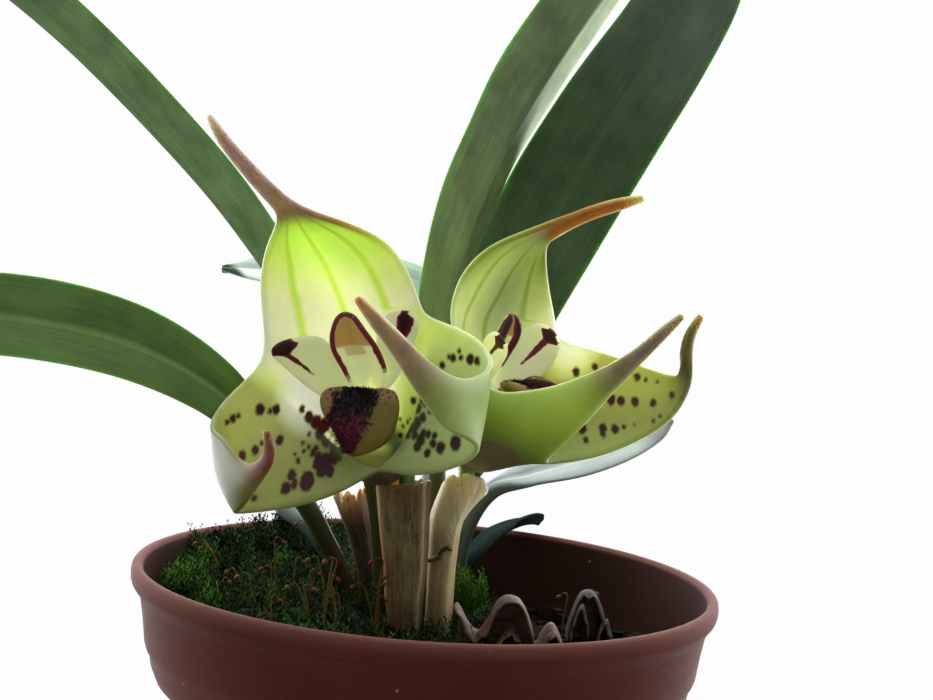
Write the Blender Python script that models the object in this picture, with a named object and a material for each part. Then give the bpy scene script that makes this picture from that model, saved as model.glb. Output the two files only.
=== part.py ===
"""A potted masdevallia orchid: a small tufted orchid with two blooms and strap leaves, standing
in moss and bark mix in a nursery pot.

Lengths are millimetres in the lists below and become metres in add_object. X runs to the
right and Z up as the plant is seen from the front, Y runs to its back, and the origin is the
centre of the pot's foot.
"""

import math

import bmesh
import bpy
import numpy as np
from mathutils import Matrix, Vector

MM = 0.001
GAP = 0.3

# Pot
RIM_RADIUS = 52.5
POT_HEIGHT = 92.0
COLLAR_RADIUS = 50.6
COLLAR_LOW = 78.5
SHOULDER_RADIUS = 43.8
SHOULDER_LOW = 67.5
FOOT_RADIUS = 34.2
PAD_RADIUS = 9.0
WALL = 1.4
FLOOR_TOP = 4.5
POT_SEGMENTS = 36
DRAIN_HOLES = 6
DRAIN_CIRCLE = 19.0
DRAIN_RADIUS = 3.0

# Potting mix and moss
MIX_TOP = 78.0
MIX_RELIEF = 1.6
MOSS_RISE = 7.5
MOSS_BACK_RISE = 5.0
MOSS_EDGE = 2.4
MOSS_SPREAD = 72.0
ROOT_DEPTH = 70.0

# Plant
BLADE = 1.3
STALK_RADIUS = 1.7
SEPAL = 0.9
SEPAL_TAIL = 1.4
TAIL_SLIM = 0.4
PETAL = 0.8
LIP = 1.3
PEDUNCLE_RADIUS = 1.3
PEG_RADIUS = 1.5
SHEATH_WALL = 0.7


def clear_scene():
    for found in list(bpy.data.objects):
        bpy.data.objects.remove(found, do_unlink=True)


def material(name, color, roughness):
    """A plain Principled finish, colour as linear red, green and blue."""
    found = bpy.data.materials.get(name) or bpy.data.materials.new(name)
    found.use_nodes = True
    shader = found.node_tree.nodes["Principled BSDF"]
    shader.inputs["Base Color"].default_value = (*color, 1.0)
    shader.inputs["Roughness"].default_value = roughness
    shader.inputs["Metallic"].default_value = 0.0
    return found


def add_object(name, points, faces, finish):
    """An object from points in millimetres, with every face turned outward."""
    mesh = bpy.data.meshes.new(name)
    mesh.from_pydata([Vector(p) * MM for p in points], [], faces)
    made = bpy.data.objects.new(name, mesh)
    bpy.context.collection.objects.link(made)
    work = bmesh.new()
    work.from_mesh(mesh)
    bmesh.ops.recalc_face_normals(work, faces=work.faces)
    work.to_mesh(mesh)
    work.free()
    mesh.materials.append(finish)
    mesh.shade_smooth()
    return made


def apply_modifiers(made):
    """The object's evaluated mesh in place of its base mesh and modifiers."""
    bpy.context.view_layer.update()
    graph = bpy.context.evaluated_depsgraph_get()
    mesh = bpy.data.meshes.new_from_object(made.evaluated_get(graph))
    made.modifiers.clear()
    made.data = mesh


def united(name, pieces):
    """One body from pieces that run into each other."""
    group = bpy.data.collections.new(name + "_parts")
    bpy.context.scene.collection.children.link(group)
    base = pieces[0]
    for piece in pieces:
        apply_modifiers(piece)
    for piece in pieces[1:]:
        bpy.context.collection.objects.unlink(piece)
        group.objects.link(piece)
    joined = base.modifiers.new("join", "BOOLEAN")
    joined.operation = "UNION"
    joined.operand_type = "COLLECTION"
    joined.collection = group
    joined.solver = "EXACT"
    apply_modifiers(base)
    for piece in pieces[1:]:
        bpy.data.objects.remove(piece, do_unlink=True)
    bpy.data.collections.remove(group)
    base.name = name
    return base


def cut(made, cutters):
    """The object less its cutters, which stay in the file as hidden guides."""
    for cutter in cutters:
        taken = made.modifiers.new("cut_" + cutter.name, "BOOLEAN")
        taken.operation = "DIFFERENCE"
        taken.object = cutter
        taken.solver = "EXACT"
        cutter.hide_render = True
        cutter.display_type = "WIRE"


def smooth_path(rows, count):
    """Rows at even steps on a Catmull-Rom curve through the given rows of any width."""
    p = np.asarray(rows, float)
    ends = np.vstack([2 * p[0] - p[1], p, 2 * p[-1] - p[-2]])
    path = []
    for step in np.linspace(0, len(p) - 1, count):
        i = min(int(step), len(p) - 2)
        t = step - i
        a, b, c, d = ends[i : i + 4]
        bend = (2 * a - 5 * b + 4 * c - d) * t * t + (3 * b - a - 3 * c + d) * t**3
        path.append(0.5 * (2 * b + (c - a) * t + bend))
    return np.array(path)


def frames(centre, face_low, face_high):
    """Tangent, face and side directions along a path, the face turning from low to high."""
    tangent = np.gradient(centre, axis=0)
    tangent /= np.linalg.norm(tangent, axis=1)[:, None]
    share = np.linspace(0, 1, len(centre))[:, None]
    face = np.asarray(face_low, float) * (1 - share) + np.asarray(face_high, float) * share
    face -= tangent * np.sum(face * tangent, axis=1)[:, None]
    face /= np.linalg.norm(face, axis=1)[:, None]
    return tangent, face, np.cross(tangent, face)


def skin(rings):
    """Points and faces of a closed skin over rings of equal count, capped at both ends."""
    count = len(rings[0])
    points = [tuple(p) for ring in rings for p in ring]
    faces = []
    for r in range(len(rings) - 1):
        for k in range(count):
            near, far = r * count, (r + 1) * count
            faces.append((near + k, near + (k + 1) % count, far + (k + 1) % count, far + k))
    last = (len(rings) - 1) * count
    faces.append(tuple(range(count)))
    faces.append(tuple(range(last, last + count)))
    return points, faces


def tube(name, rows, finish, sides=10, count=10):
    """A round stem through rows of (x, y, z, radius)."""
    path = smooth_path(rows, count)
    centre = path[:, :3]
    _, face, side = frames(centre, (1, 0.01, 0.02), (1, 0.01, 0.02))
    turns = np.linspace(0, 2 * math.pi, sides, endpoint=False)
    rings = [
        [c + r * (math.cos(a) * f + math.sin(a) * s) for a in turns]
        for c, r, f, s in zip(centre, path[:, 3], face, side)
    ]
    return add_object(name, *skin(rings), finish)


def stem_hole(name, rows, finish):
    """A cutter for the hole that a stem stands in, a gap deeper than its foot and a little
    wider, which follows the stem up past the moss."""
    path = smooth_path(rows, 6 * (len(rows) - 1) + 1)[:13]
    foot, rise = path[0, :3], path[1, :3] - path[0, :3]
    start = foot - GAP * rise / np.linalg.norm(rise)
    wide = max(rows[0][3], rows[1][3])
    picked = [(*start, wide + 3 * GAP)]
    picked += [(*row[:3], max(wide, row[3]) + 3 * GAP) for row in path[3::3]]
    return tube(name, picked, finish, sides=10, count=len(picked))


def leaf(name, rows, face_low, face_high, fold, finish, sections=16, sides=10):
    """One grown leaf through rows of (x, y, z, half width): a round stalk that flattens into
    a channelled strap, thickest over its midrib."""
    path = smooth_path(rows, sections)
    centre, half = path[:, :3], path[:, 3]
    _, face, side = frames(centre, face_low, face_high)
    turns = np.linspace(0, 2 * math.pi, sides, endpoint=False)
    widest = int(np.argmax(half))
    rings = []
    for i, (c, h, f, s) in enumerate(zip(centre, half, face, side)):
        flat = 1.0 if i >= widest else min(1.0, max(0.0, (h - STALK_RADIUS) / 4.0))
        thick = STALK_RADIUS * (1 - flat) + 0.5 * BLADE * flat
        ring = []
        for a in turns:
            across = h * math.cos(a)
            rise = thick * math.sin(a) + fold * flat * abs(across)
            ring.append(c + across * s + rise * f)
        rings.append(ring)
    return add_object(name, *skin(rings), finish)


def arc_of(row):
    """Five points across a blade, on the parabola through its two margins and its middle."""
    left, middle, right = (np.asarray(p, float) for p in row)
    return [
        left,
        0.375 * left + 0.75 * middle - 0.125 * right,
        middle,
        -0.125 * left + 0.75 * middle + 0.375 * right,
        right,
    ]


def slimmed(left, middle, right, pull):
    """A row with its margins pulled in toward its middle by a share of their distance."""
    left, middle, right = (np.asarray(p, float) for p in (left, middle, right))
    return left + pull * (middle - left), middle, right + pull * (middle - right)


def placed(points, origin, yaw=0.0, pitch=0.0):
    """Points of a bloom's own frame set at an origin: pitched nose down, then turned to its
    own right, in degrees."""
    turn = Matrix.Rotation(math.radians(yaw), 3, "Z") @ Matrix.Rotation(math.radians(pitch), 3, "X")
    return [Vector(origin) + turn @ Vector(p) for p in points]


def blade(name, rows, thickness, finish):
    """A thin curved blade from rows of points, smoothed and given its thickness."""
    across = len(rows[0])
    points = [p for row in rows for p in row]
    faces = []
    for r in range(len(rows) - 1):
        for k in range(across - 1):
            near, far = r * across + k, (r + 1) * across + k
            faces.append((near, near + 1, far + 1, far))
    made = add_object(name, points, faces, finish)
    thicken(made, thickness)
    return made


def thicken(made, thickness, group=""):
    """Subdivision for the curve, then the wall, half to each side."""
    smooth = made.modifiers.new("smooth", "SUBSURF")
    smooth.levels = 1
    smooth.render_levels = 1
    wall = made.modifiers.new("wall", "SOLIDIFY")
    wall.thickness = thickness * MM
    wall.offset = 0.0
    if group:
        wall.vertex_group = group
        wall.thickness_vertex_group = SEPAL / SEPAL_TAIL


def pot(finish):
    """The moulded nursery pot: rolled rim, collar, rounded shoulder, tapered body, a foot ring
    round a raised floor with drain holes, and the flat pad at its middle that it also
    stands on."""
    outer = [
        (RIM_RADIUS - 1.1, POT_HEIGHT),
        (RIM_RADIUS - 0.2, POT_HEIGHT - 0.4),
        (RIM_RADIUS, POT_HEIGHT - 1.4),
        (RIM_RADIUS - 0.2, POT_HEIGHT - 3.2),
        (COLLAR_RADIUS + 0.1, POT_HEIGHT - 4.1),
        (COLLAR_RADIUS - 1.1, COLLAR_LOW),
        (COLLAR_RADIUS - 2.0, COLLAR_LOW - 1.8),
        (COLLAR_RADIUS - 2.4, COLLAR_LOW - 4.0),
        (SHOULDER_RADIUS + 3.4, SHOULDER_LOW + 4.6),
        (SHOULDER_RADIUS + 0.8, SHOULDER_LOW + 1.8),
        (SHOULDER_RADIUS, SHOULDER_LOW),
        (FOOT_RADIUS + 1.2, 3.0),
        (FOOT_RADIUS, 0.0),
        (FOOT_RADIUS - 4.2, 0.0),
        (FOOT_RADIUS - 4.8, 2.0),
    ]
    inner = [
        (FOOT_RADIUS - 1.0, FLOOR_TOP),
        (SHOULDER_RADIUS - WALL - 0.2, SHOULDER_LOW - 0.5),
        (SHOULDER_RADIUS + 0.6 - WALL, SHOULDER_LOW + 2.8),
        (SHOULDER_RADIUS + 2.8 - WALL, SHOULDER_LOW + 5.4),
        (COLLAR_RADIUS - 2.2 - WALL, COLLAR_LOW - 2.6),
        (COLLAR_RADIUS - 1.1 - WALL, COLLAR_LOW + 1.0),
        (COLLAR_RADIUS - WALL, POT_HEIGHT - 4.6),
        (RIM_RADIUS - 2.1, POT_HEIGHT - 0.8),
        (RIM_RADIUS - 1.8, POT_HEIGHT - 0.1),
    ]
    pad = [(PAD_RADIUS + 0.8, 2.0), (PAD_RADIUS, 0.0), (0.0, 0.0), (0.0, FLOOR_TOP)]
    profile = outer + pad + inner
    count = POT_SEGMENTS
    points, rings, faces = [], [], []
    for radius, height in profile:
        if radius == 0.0:
            rings.append([len(points)] * count)
            points.append((0.0, 0.0, height))
            continue
        rings.append(list(range(len(points), len(points) + count)))
        for k in range(count):
            turn = 2 * math.pi * k / count
            points.append((radius * math.cos(turn), radius * math.sin(turn), height))
    for i, near in enumerate(rings):
        far = rings[(i + 1) % len(rings)]
        if len(set(near + far)) == 2:
            continue
        for k in range(count):
            corners = (near[k], near[(k + 1) % count], far[(k + 1) % count], far[k])
            faces.append(tuple(dict.fromkeys(corners)))
    made = add_object("pot", points, faces, finish)
    drills = []
    for k in range(DRAIN_HOLES):
        turn = 2 * math.pi * k / DRAIN_HOLES
        x, y = DRAIN_CIRCLE * math.cos(turn), DRAIN_CIRCLE * math.sin(turn)
        rows = [(x, y, -3.0, DRAIN_RADIUS), (x, y, FLOOR_TOP + 3.0, DRAIN_RADIUS)]
        drills.append(tube(f"drain_drill_{k}", rows, finish, sides=12, count=2))
    cut(made, drills)
    return made


def inner_radius(height):
    """The pot's inside radius at a height."""
    heights = [FLOOR_TOP, SHOULDER_LOW - 0.5, SHOULDER_LOW + 2.8, SHOULDER_LOW + 5.4,
               COLLAR_LOW - 2.6, COLLAR_LOW + 1.0, POT_HEIGHT - 4.6]
    radii = [FOOT_RADIUS - 1.0, SHOULDER_RADIUS - WALL - 0.2, SHOULDER_RADIUS + 0.6 - WALL,
             SHOULDER_RADIUS + 2.8 - WALL, COLLAR_RADIUS - 2.2 - WALL,
             COLLAR_RADIUS - 1.1 - WALL, COLLAR_RADIUS - WALL]
    return float(np.interp(height, heights, radii))


def mix_height(x, y):
    """The top of the bark mix: level under the moss, lumpy where it lies bare at the right."""
    bare = eased((x - 18.0) / 8.0)
    lumps = math.sin(0.22 * x + 1.1) * math.cos(0.2 * y) + 0.5 * math.sin(0.3 * x - 0.25 * y)
    return MIX_TOP + MIX_RELIEF * 0.5 * lumps * bare


def moss_height(x, y):
    """The moss cushion over the mix: highest at the back left, thin at its right edge."""
    swell = eased((4.0 - x) / 30.0)
    back = eased((y - 5.0) / 35.0) * eased((-2.0 - x) / 25.0)
    tufts = 0.9 * math.sin(0.55 * x + 0.8) * math.sin(0.6 * y) + 0.6 * math.sin(0.9 * x - 0.7 * y)
    edge = MOSS_EDGE * (1.0 - 0.6 * eased((x - 9.0) / 5.0))
    rise = edge + MOSS_RISE * swell + MOSS_BACK_RISE * back
    return MIX_TOP + GAP + rise + tufts * (0.25 + 0.75 * swell)


def eased(share):
    """A share held between 0 and 1 and eased at both ends."""
    held = min(1.0, max(0.0, share))
    return held * held * (3 - 2 * held)


def wall_clearance(height, gap):
    """The radius that clears the flats of the pot's faceted inside by a gap."""
    return inner_radius(height) * math.cos(math.pi / POT_SEGMENTS) - gap


def potting_mix(finish, holes):
    """The plug of bark mix that fills the pot, with a plain hole for every stem."""
    turns = np.linspace(0, 2 * math.pi, 32, endpoint=False)
    rings = []
    for height in (FLOOR_TOP + GAP, SHOULDER_LOW - 0.5, SHOULDER_LOW + 2.8, SHOULDER_LOW + 5.4,
                   COLLAR_LOW - 2.6):
        wide = wall_clearance(height, 1.5 * GAP)
        rings.append([(wide * math.cos(a), wide * math.sin(a), height) for a in turns])
    for share in (1.0, 0.84, 0.68, 0.52, 0.36):
        wide = wall_clearance(MIX_TOP, 1.5 * GAP) * share
        spots = [(wide * math.cos(a), wide * math.sin(a)) for a in turns]
        rings.append([(x, y, mix_height(x, y)) for x, y in spots])
    made = add_object("potting_mix", *skin(rings), finish)
    cut(made, holes)
    return made


def moss(finish, holes, columns=13, across=12):
    """The living moss carpet over the left and middle of the mix."""
    wide = wall_clearance(MIX_TOP + GAP, 1.5 * GAP)
    points = []
    for level in (1, 0):
        for turn in np.radians(np.linspace(MOSS_SPREAD, 172.0, columns)):
            for share in np.linspace(-1, 1, across):
                x, y = wide * math.cos(turn), wide * math.sin(turn) * share
                points.append((x, y, moss_height(x, y) if level else MIX_TOP + GAP))
    base = columns * across
    faces = []
    for r in range(columns - 1):
        for k in range(across - 1):
            near, far = r * across + k, (r + 1) * across + k
            faces.append((near, near + 1, far + 1, far))
    rim = list(range(across))
    rim += [r * across + across - 1 for r in range(1, columns)]
    rim += [(columns - 1) * across + k for k in range(across - 2, -1, -1)]
    rim += [r * across for r in range(columns - 2, 0, -1)]
    for near, far in zip(rim, rim[1:] + rim[:1]):
        faces.append((near, far, base + far, base + near))
    used = {k: i for i, k in enumerate(list(range(base)) + [base + k for k in rim])}
    faces.append(tuple(base + k for k in rim))
    made = add_object("moss_carpet", [points[k] for k in used],
                      [tuple(used[k] for k in face) for face in faces], finish)
    cut(made, holes)
    return made


def sheath(name, rows, finish, folds, fold_depth, ragged, slant=0.0, sides=16):
    """A dry papery sheath, an open tube through rows of (x, y, z, half width, half depth),
    pleated lengthwise, torn off unevenly along its top and slanted lower at its back."""
    outer, inner = [], []
    for i, (x, y, z, wide, deep) in enumerate(rows):
        top = i == len(rows) - 1
        for wall, rings in ((0.0, outer), (SHEATH_WALL, inner)):
            ring = []
            for k in range(sides):
                a = 2 * math.pi * k / sides
                pleat = 1.0 + fold_depth * math.sin(folds * a + 0.7)
                tear = ragged * math.sin(3 * a + 1.0) * math.cos(5 * a) - slant * math.sin(a)
                tear = tear if top else 0.0
                ring.append((x + (wide * pleat - wall) * math.cos(a),
                             y + (deep * pleat - wall) * math.sin(a), z + tear))
            rings.append(ring)
    points = [p for ring in outer + inner for p in ring]
    base = len(rows) * sides
    faces = []
    for r in range(len(rows) - 1):
        for k in range(sides):
            a, b, after = r * sides, (r + 1) * sides, (k + 1) % sides
            faces.append((a + k, a + after, b + after, b + k))
            faces.append((base + a + k, base + b + k, base + b + after, base + a + after))
    for end in (0, (len(rows) - 1) * sides):
        for k in range(sides):
            after = (k + 1) % sides
            faces.append((end + k, end + after, base + end + after, base + end + k))
    return add_object(name, points, faces, finish)


def bloom_shell(name, origin, cup, sepals, stalk, finish):
    """The calyx: a cup that opens into three sepals, each drawn out into a fleshy tail, in one
    body with the ovary and its stalk. Each sepal is a list of rows of (margin, middle,
    margin, weight), weight 0 in the thin blade and 1 in the tail."""
    points, weights, faces = [], [], []
    mouth = [p for sepal in sepals for p in arc_of(sepal[0][:3])[:4]]
    ring_size = len(mouth)
    for centre, across, wide, tall in cup:
        centre, across = np.asarray(centre, float), np.asarray(across, float)
        middle = np.mean(mouth, axis=0)
        for p in mouth:
            turn = math.atan2(p[2] - middle[2], float(np.dot(p - middle, across)))
            points.append(centre + wide * math.cos(turn) * across
                          + np.array([0.0, 0.0, tall * math.sin(turn)]))
            weights.append(0.0)
    points += mouth
    weights += [0.0] * ring_size
    faces.append(tuple(range(ring_size)))
    for r in range(len(cup)):
        for k in range(ring_size):
            near, far, after = r * ring_size, (r + 1) * ring_size, (k + 1) % ring_size
            faces.append((near + k, near + after, far + after, far + k))
    start = len(cup) * ring_size
    for s, sepal in enumerate(sepals):
        row = [start + (4 * s + k) % ring_size for k in range(5)]
        for left, centre, right, weight in sepal[1:]:
            fresh = list(range(len(points), len(points) + 5))
            points += arc_of(slimmed(left, centre, right, TAIL_SLIM * weight))
            weights += [weight] * 5
            for k in range(4):
                faces.append((row[k], row[k + 1], fresh[k + 1], fresh[k]))
            row = fresh
    points = [np.asarray(p) + np.asarray(origin) for p in points]
    made = add_object(name, points, faces, finish)
    group = made.vertex_groups.new(name="tail")
    for i, weight in enumerate(weights):
        group.add([i], weight, "REPLACE")
    thicken(made, SEPAL_TAIL, "tail")
    stem = tube(name + "_stalk", stalk, finish, sides=8, count=13)
    return united(name, [made, stem])


def column_and_petals(name, throat, hood, petals, base, seat, foot_end, finish):
    """The column, a hollow-fronted hood, with a petal at each side and the foot that carries
    the lip, in one body."""
    pieces = [blade(name + "_hood", offset(hood, throat), 1.1, finish)]
    for k, petal in enumerate(petals):
        pieces.append(blade(f"{name}_petal_{k}", offset(petal, throat), PETAL, finish))
    base, seat = np.asarray(base, float), np.asarray(seat, float)
    foot_end = np.asarray(foot_end, float)
    toward = (base - seat) / np.linalg.norm(base - seat)
    down = (foot_end - base) / np.linalg.norm(foot_end - base)
    pieces.append(tube(name + "_peg", [(*(seat + 0.6 * toward), PEG_RADIUS),
                                       (*(base + 1.2 * toward), PEG_RADIUS)], finish, 10, 3))
    pieces.append(tube(name + "_foot", [(*(base - 0.8 * down), 1.5),
                                        (*foot_end, 1.0)], finish, 10, 3))
    return united(name, pieces)


def offset(rows, origin):
    """Rows of points given from an origin, set in place."""
    return [tuple(np.asarray(p, float) + np.asarray(origin, float) for p in row) for row in rows]


def lip(name, place, hinge, finish):
    """The lip, a shield with two upturned side lobes, hinged on the column's foot."""
    lip_rows = [
        ((-2.4, 0.2, 0.4), (-1.2, 0.2, -0.3), (0, 0.2, -0.6), (1.2, 0.2, -0.3), (2.4, 0.2, 0.4)),
        ((-6.2, -0.9, 2.0), (-3.2, -0.5, 1.4), (0, -1.2, -0.2), (3.2, -0.3, 1.8), (6.0, -0.4, 2.6)),
        ((-6.9, -3.2, 1.3), (-3.6, -3.0, 1.2), (0, -3.2, 0.3), (3.6, -3.0, 1.4), (7.0, -3.0, 1.6)),
        ((-5.4, -5.6, 0.3), (-2.9, -5.6, 0.8), (0, -5.6, 0.6), (3.2, -5.8, 0.9), (6.6, -6.0, 0.2)),
        ((-3.2, -8.0, -0.6), (-1.8, -8.2, 0.2), (0, -8.4, 0.4), (2.6, -8.4, 0.0), (5.4, -8.6, -1.2)),
        ((-1.0, -10.4, -1.2), (-0.5, -11.0, -1.0), (0, -11.4, -1.1), (1.0, -11.0, -1.3), (2.2, -10.4, -1.8)),
    ]
    rows = [placed(row, **place) for row in lip_rows]
    hinge = np.asarray(hinge, float)
    base = np.array(placed([(0.0, -1.2, -0.5)], **place)[0])
    toward = (base - hinge) / np.linalg.norm(base - hinge)
    stub = tube(name + "_stub", [(*(hinge + 0.85 * toward), 0.8), (*base, 1.2)], finish, 8, 3)
    return united(name, [blade(name, rows, LIP, finish), stub])


# The blooms. Each sepal runs from the mouth of the cup to the tip of its tail, in millimetres
# from the throat, with rows of left margin, middle, right margin and tail weight.
FRONT_THROAT = (-16.0, -14.0, 122.0)
FRONT_CUP = [((6.5, 14.5, -6.0), (1, 0, 0), 4.5, 5.0), ((5.5, 10.5, -4.1), (1, 0, 0), 8.5, 10.2)]
FRONT_DORSAL = [
    ((-13.5, -2, 7.5), (-0.5, 8, 10), (12, 1, 16.5), 0),
    ((-14.5, -2, 14), (-1.5, 9, 15.5), (11, 0, 19), 0),
    ((-15.5, -2, 19.5), (-4, 9, 20.5), (9.5, -1, 22.5), 0),
    ((-15, -3, 24), (-6, 7, 24.5), (7, -2, 26.5), 0),
    ((-14.3, -3.5, 27), (-8.5, 3.5, 28), (3.5, -2.5, 29.5), 0),
    ((-13.5, -4, 29.5), (-10, 0, 30.7), (-3, -3, 31.7), 0.3),
    ((-13.5, -5, 31.8), (-11.2, -3.5, 32.8), (-8.5, -4.5, 32.6), 0.8),
    ((-15.6, -6, 34), (-14.5, -5.5, 35), (-13.2, -6, 36), 1),
    ((-20, -8, 38.6), (-19, -7.5, 39.5), (-18.2, -8, 40.4), 1),
    ((-23, -10, 42.6), (-22.3, -9.7, 43), (-21.6, -10, 43.5), 0.8),
    ((-24.6, -12, 46.2), (-24.3, -12, 46.4), (-24, -12, 46.6), 0.2),
]
FRONT_RIGHT = [
    ((12, 1, 16.5), (12, 9, 1.5), (6.5, -2, -9.5), 0),
    ((15, 1, 15.5), (15, 5, 2), (11, -5, -10.2), 0),
    ((18.5, 0, 14.5), (18, 1, 2), (16, -7, -9.2), 0),
    ((22, -2, 13), (21.3, -3, 2.5), (20.5, -9, -7.2), 0),
    ((24.3, -6, 10.5), (24.3, -9.5, 3.5), (23.5, -13, -4), 0),
    ((23.5, -12, 8.5), (22.6, -16, 3), (21, -18, -1.5), 0),
    ((20.5, -17, 7), (19, -21, 4), (17.5, -21, -0.5), 0.1),
    ((17, -21, 8.3), (15.6, -24, 6), (14.6, -23, 2.5), 0.3),
    ((13.5, -24.5, 11), (12.5, -26, 8.8), (11.3, -25, 6.4), 0.7),
    ((10.2, -28, 14.2), (9, -28.5, 12.9), (7.8, -28, 11.6), 1),
    ((6.9, -31, 16.8), (6.1, -31, 15.9), (5.3, -31, 15), 1),
    ((3.2, -34, 19.6), (2.9, -34, 19.4), (2.6, -34, 19.2), 0.3),
]
FRONT_LEFT = [
    ((6.5, -2, -9.5), (-5, 8, -4.5), (-13.5, -2, 7.5), 0),
    ((2, -5, -13), (-9, 3, -4.5), (-16.5, -4, 3.5), 0),
    ((-3.5, -6, -15.5), (-13.5, -1, -5.5), (-19.3, -6, 0.5), 0),
    ((-9.5, -8, -17), (-17.5, -3, -8), (-21, -8, -2.5), 0),
    ((-16.3, -12, -17.5), (-20.3, -9, -11), (-21, -11, -4.5), 0),
    ((-15, -17, -16.3), (-18.3, -16, -11.5), (-18, -16, -5), 0),
    ((-12.8, -20, -13.8), (-15.3, -21, -10.5), (-16, -20, -6.3), 0.2),
    ((-10.7, -23.5, -10.8), (-12.5, -25, -9.5), (-13.7, -23, -8), 0.6),
    ((-9, -27, -7.6), (-10, -27.5, -7.4), (-11, -27, -6.8), 1),
    ((-8.1, -30, -5), (-8.8, -30.3, -5), (-9.6, -30, -4.6), 1),
    ((-9, -33, -1.6), (-9.3, -33, -1.5), (-9.6, -33, -1.4), 0.3),
]
FRONT_HOOD = [
    ((1.4, 6.0, 1.4), (3.4, 9.0, 1.8), (6.2, 6.4, 3.2)),
    ((0.2, 5.2, 3.9), (2.7, 8.2, 4.9), (6.3, 5.2, 6.1)),
    ((-1.3, 4.0, 6.7), (1.6, 6.8, 7.4), (5.5, 4.0, 8.4)),
    ((-3.2, 3.0, 9.4), (0.3, 5.4, 10.0), (4.2, 3.0, 10.8)),
    ((-3.5, 2.2, 12.4), (-0.6, 4.4, 12.8), (2.2, 2.2, 12.9)),
    ((-2.5, 1.4, 15.4), (-1.2, 2.6, 15.9), (0.3, 1.4, 15.6)),
]
FRONT_PETALS = [
    [((-1.4, 6.9, -0.2), (0.9, 7.7, 1.0), (2.8, 7.9, 2.2)),
     ((-6.3, 5.0, 2.0), (-4.1, 6.4, 3.5), (-1.1, 6.0, 5.2)),
     ((-8.9, 1.9, 4.5), (-6.2, 4.0, 6.3), (-2.6, 4.2, 8.0)),
     ((-10.9, -0.8, 6.6), (-8.2, 2.0, 8.2), (-3.8, 2.8, 10.2)),
     ((-12.9, -3.8, 8.4), (-9.9, -1.2, 9.6), (-5.4, 1.6, 11.4)),
     ((-12.3, -3.6, 9.9), (-9.6, -1.4, 11.0), (-7.0, 0.4, 11.4))],
    [((2.8, 7.8, 1.6), (4.4, 8.0, 2.2), (6.4, 7.6, 2.6)),
     ((3.9, 6.6, 5.5), (5.9, 7.0, 5.8), (8.6, 6.4, 6.1)),
     ((4.2, 5.4, 8.7), (6.8, 5.6, 8.9), (9.9, 4.4, 9.2)),
     ((4.6, 4.2, 12.0), (7.6, 3.8, 12.4), (11.0, 2.2, 12.7)),
     ((5.1, 2.6, 14.9), (7.8, 1.5, 15.6), (11.5, -0.1, 15.4)),
     ((6.1, 2.1, 16.2), (8.1, 1.1, 16.9), (10.3, 0.0, 16.9))],
]
BACK_THROAT = (11.0, 2.0, 125.0)
BACK_HOOD = [
    ((-3.7, 0.8, 2.0), (-4.0, 3.0, 2.2), (-1.5, 3.4, 2.0)),
    ((-3.2, -0.8, 4.8), (-3.9, 2.2, 5.2), (-0.2, 3.0, 4.9)),
    ((-1.7, -1.8, 7.5), (-3.3, 1.6, 7.8), (1.2, 2.4, 7.6)),
    ((-0.5, -2.4, 10.2), (-2.3, 1.2, 10.6), (2.6, 1.8, 10.3)),
    ((0.4, -1.6, 12.5), (-1.1, 0.9, 12.7), (2.5, 1.1, 12.6)),
    ((1.2, -0.8, 13.9), (0.2, 0.6, 14.3), (1.9, 0.5, 14.0)),
]
BACK_PETALS = [
    [((-2.1, 3.5, 3.4), (-1.0, 3.2, 1.9), (0.5, 3.4, 0.2)),
     ((-0.4, 4.6, 6.1), (1.9, 3.8, 4.0), (4.4, 4.2, 1.6)),
     ((1.4, 5.0, 8.7), (4.0, 4.4, 6.4), (7.2, 4.8, 3.2)),
     ((3.1, 5.2, 11.0), (5.8, 4.8, 8.9), (9.3, 5.0, 6.1)),
     ((5.5, 5.0, 12.7), (7.9, 4.7, 11.2), (10.2, 4.6, 8.7)),
     ((6.7, 4.6, 12.8), (8.5, 4.4, 12.0), (10.0, 4.2, 10.5))],
    [((-4.4, 1.4, 3.4), (-3.8, 1.6, 2.0), (-2.8, 1.7, 1.0)),
     ((-4.8, -1.8, 5.6), (-4.0, -1.4, 3.6), (-2.6, -1.4, 1.8)),
     ((-4.2, -4.2, 8.0), (-3.2, -3.8, 6.0), (-1.6, -4.0, 4.0)),
     ((-3.6, -6.4, 10.2), (-2.2, -6.2, 8.0), (-0.6, -6.8, 6.0)),
     ((-2.4, -8.2, 11.2), (-1.2, -8.4, 9.4), (0.2, -8.8, 7.8)),
     ((-1.8, -8.8, 11.2), (-0.9, -9.0, 10.2), (-0.2, -9.2, 9.2))],
]
BACK_CUP = [((-8, 7.5, -6.0), (0.57, 0.82, 0), 4.5, 4.8),
            ((-3, 3.9, -4.7), (0.57, 0.82, 0), 8.6, 9.7)]
BACK_DORSAL = [
    ((-8.5, -9, 8.5), (-4.5, 5, 7.5), (9.5, 7, 10), 0),
    ((-10, -5, 13), (-4.5, 7, 13), (9, 8, 14), 0),
    ((-9.8, -4, 17), (-2, 8, 17), (7.7, 9, 18.5), 0),
    ((-8.3, -3, 21.5), (0, 7, 22), (6.7, 8, 23), 0),
    ((-4.6, -3, 26), (2.5, 5, 25.8), (6.2, 6, 26.5), 0),
    ((0.7, -3, 28.8), (4, 1, 28.2), (6.6, 2, 28), 0.2),
    ((5, -2.5, 31), (6.7, -1, 30), (8.3, -1.5, 29.2), 0.7),
    ((11, -5, 34), (11.8, -4.7, 33), (12.5, -5, 32), 1),
    ((16.4, -7, 36), (16.9, -6.8, 35), (17.4, -7, 34), 1),
    ((21.6, -8, 37), (21.8, -8, 36.6), (22, -8, 36.2), 0.2),
]
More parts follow.
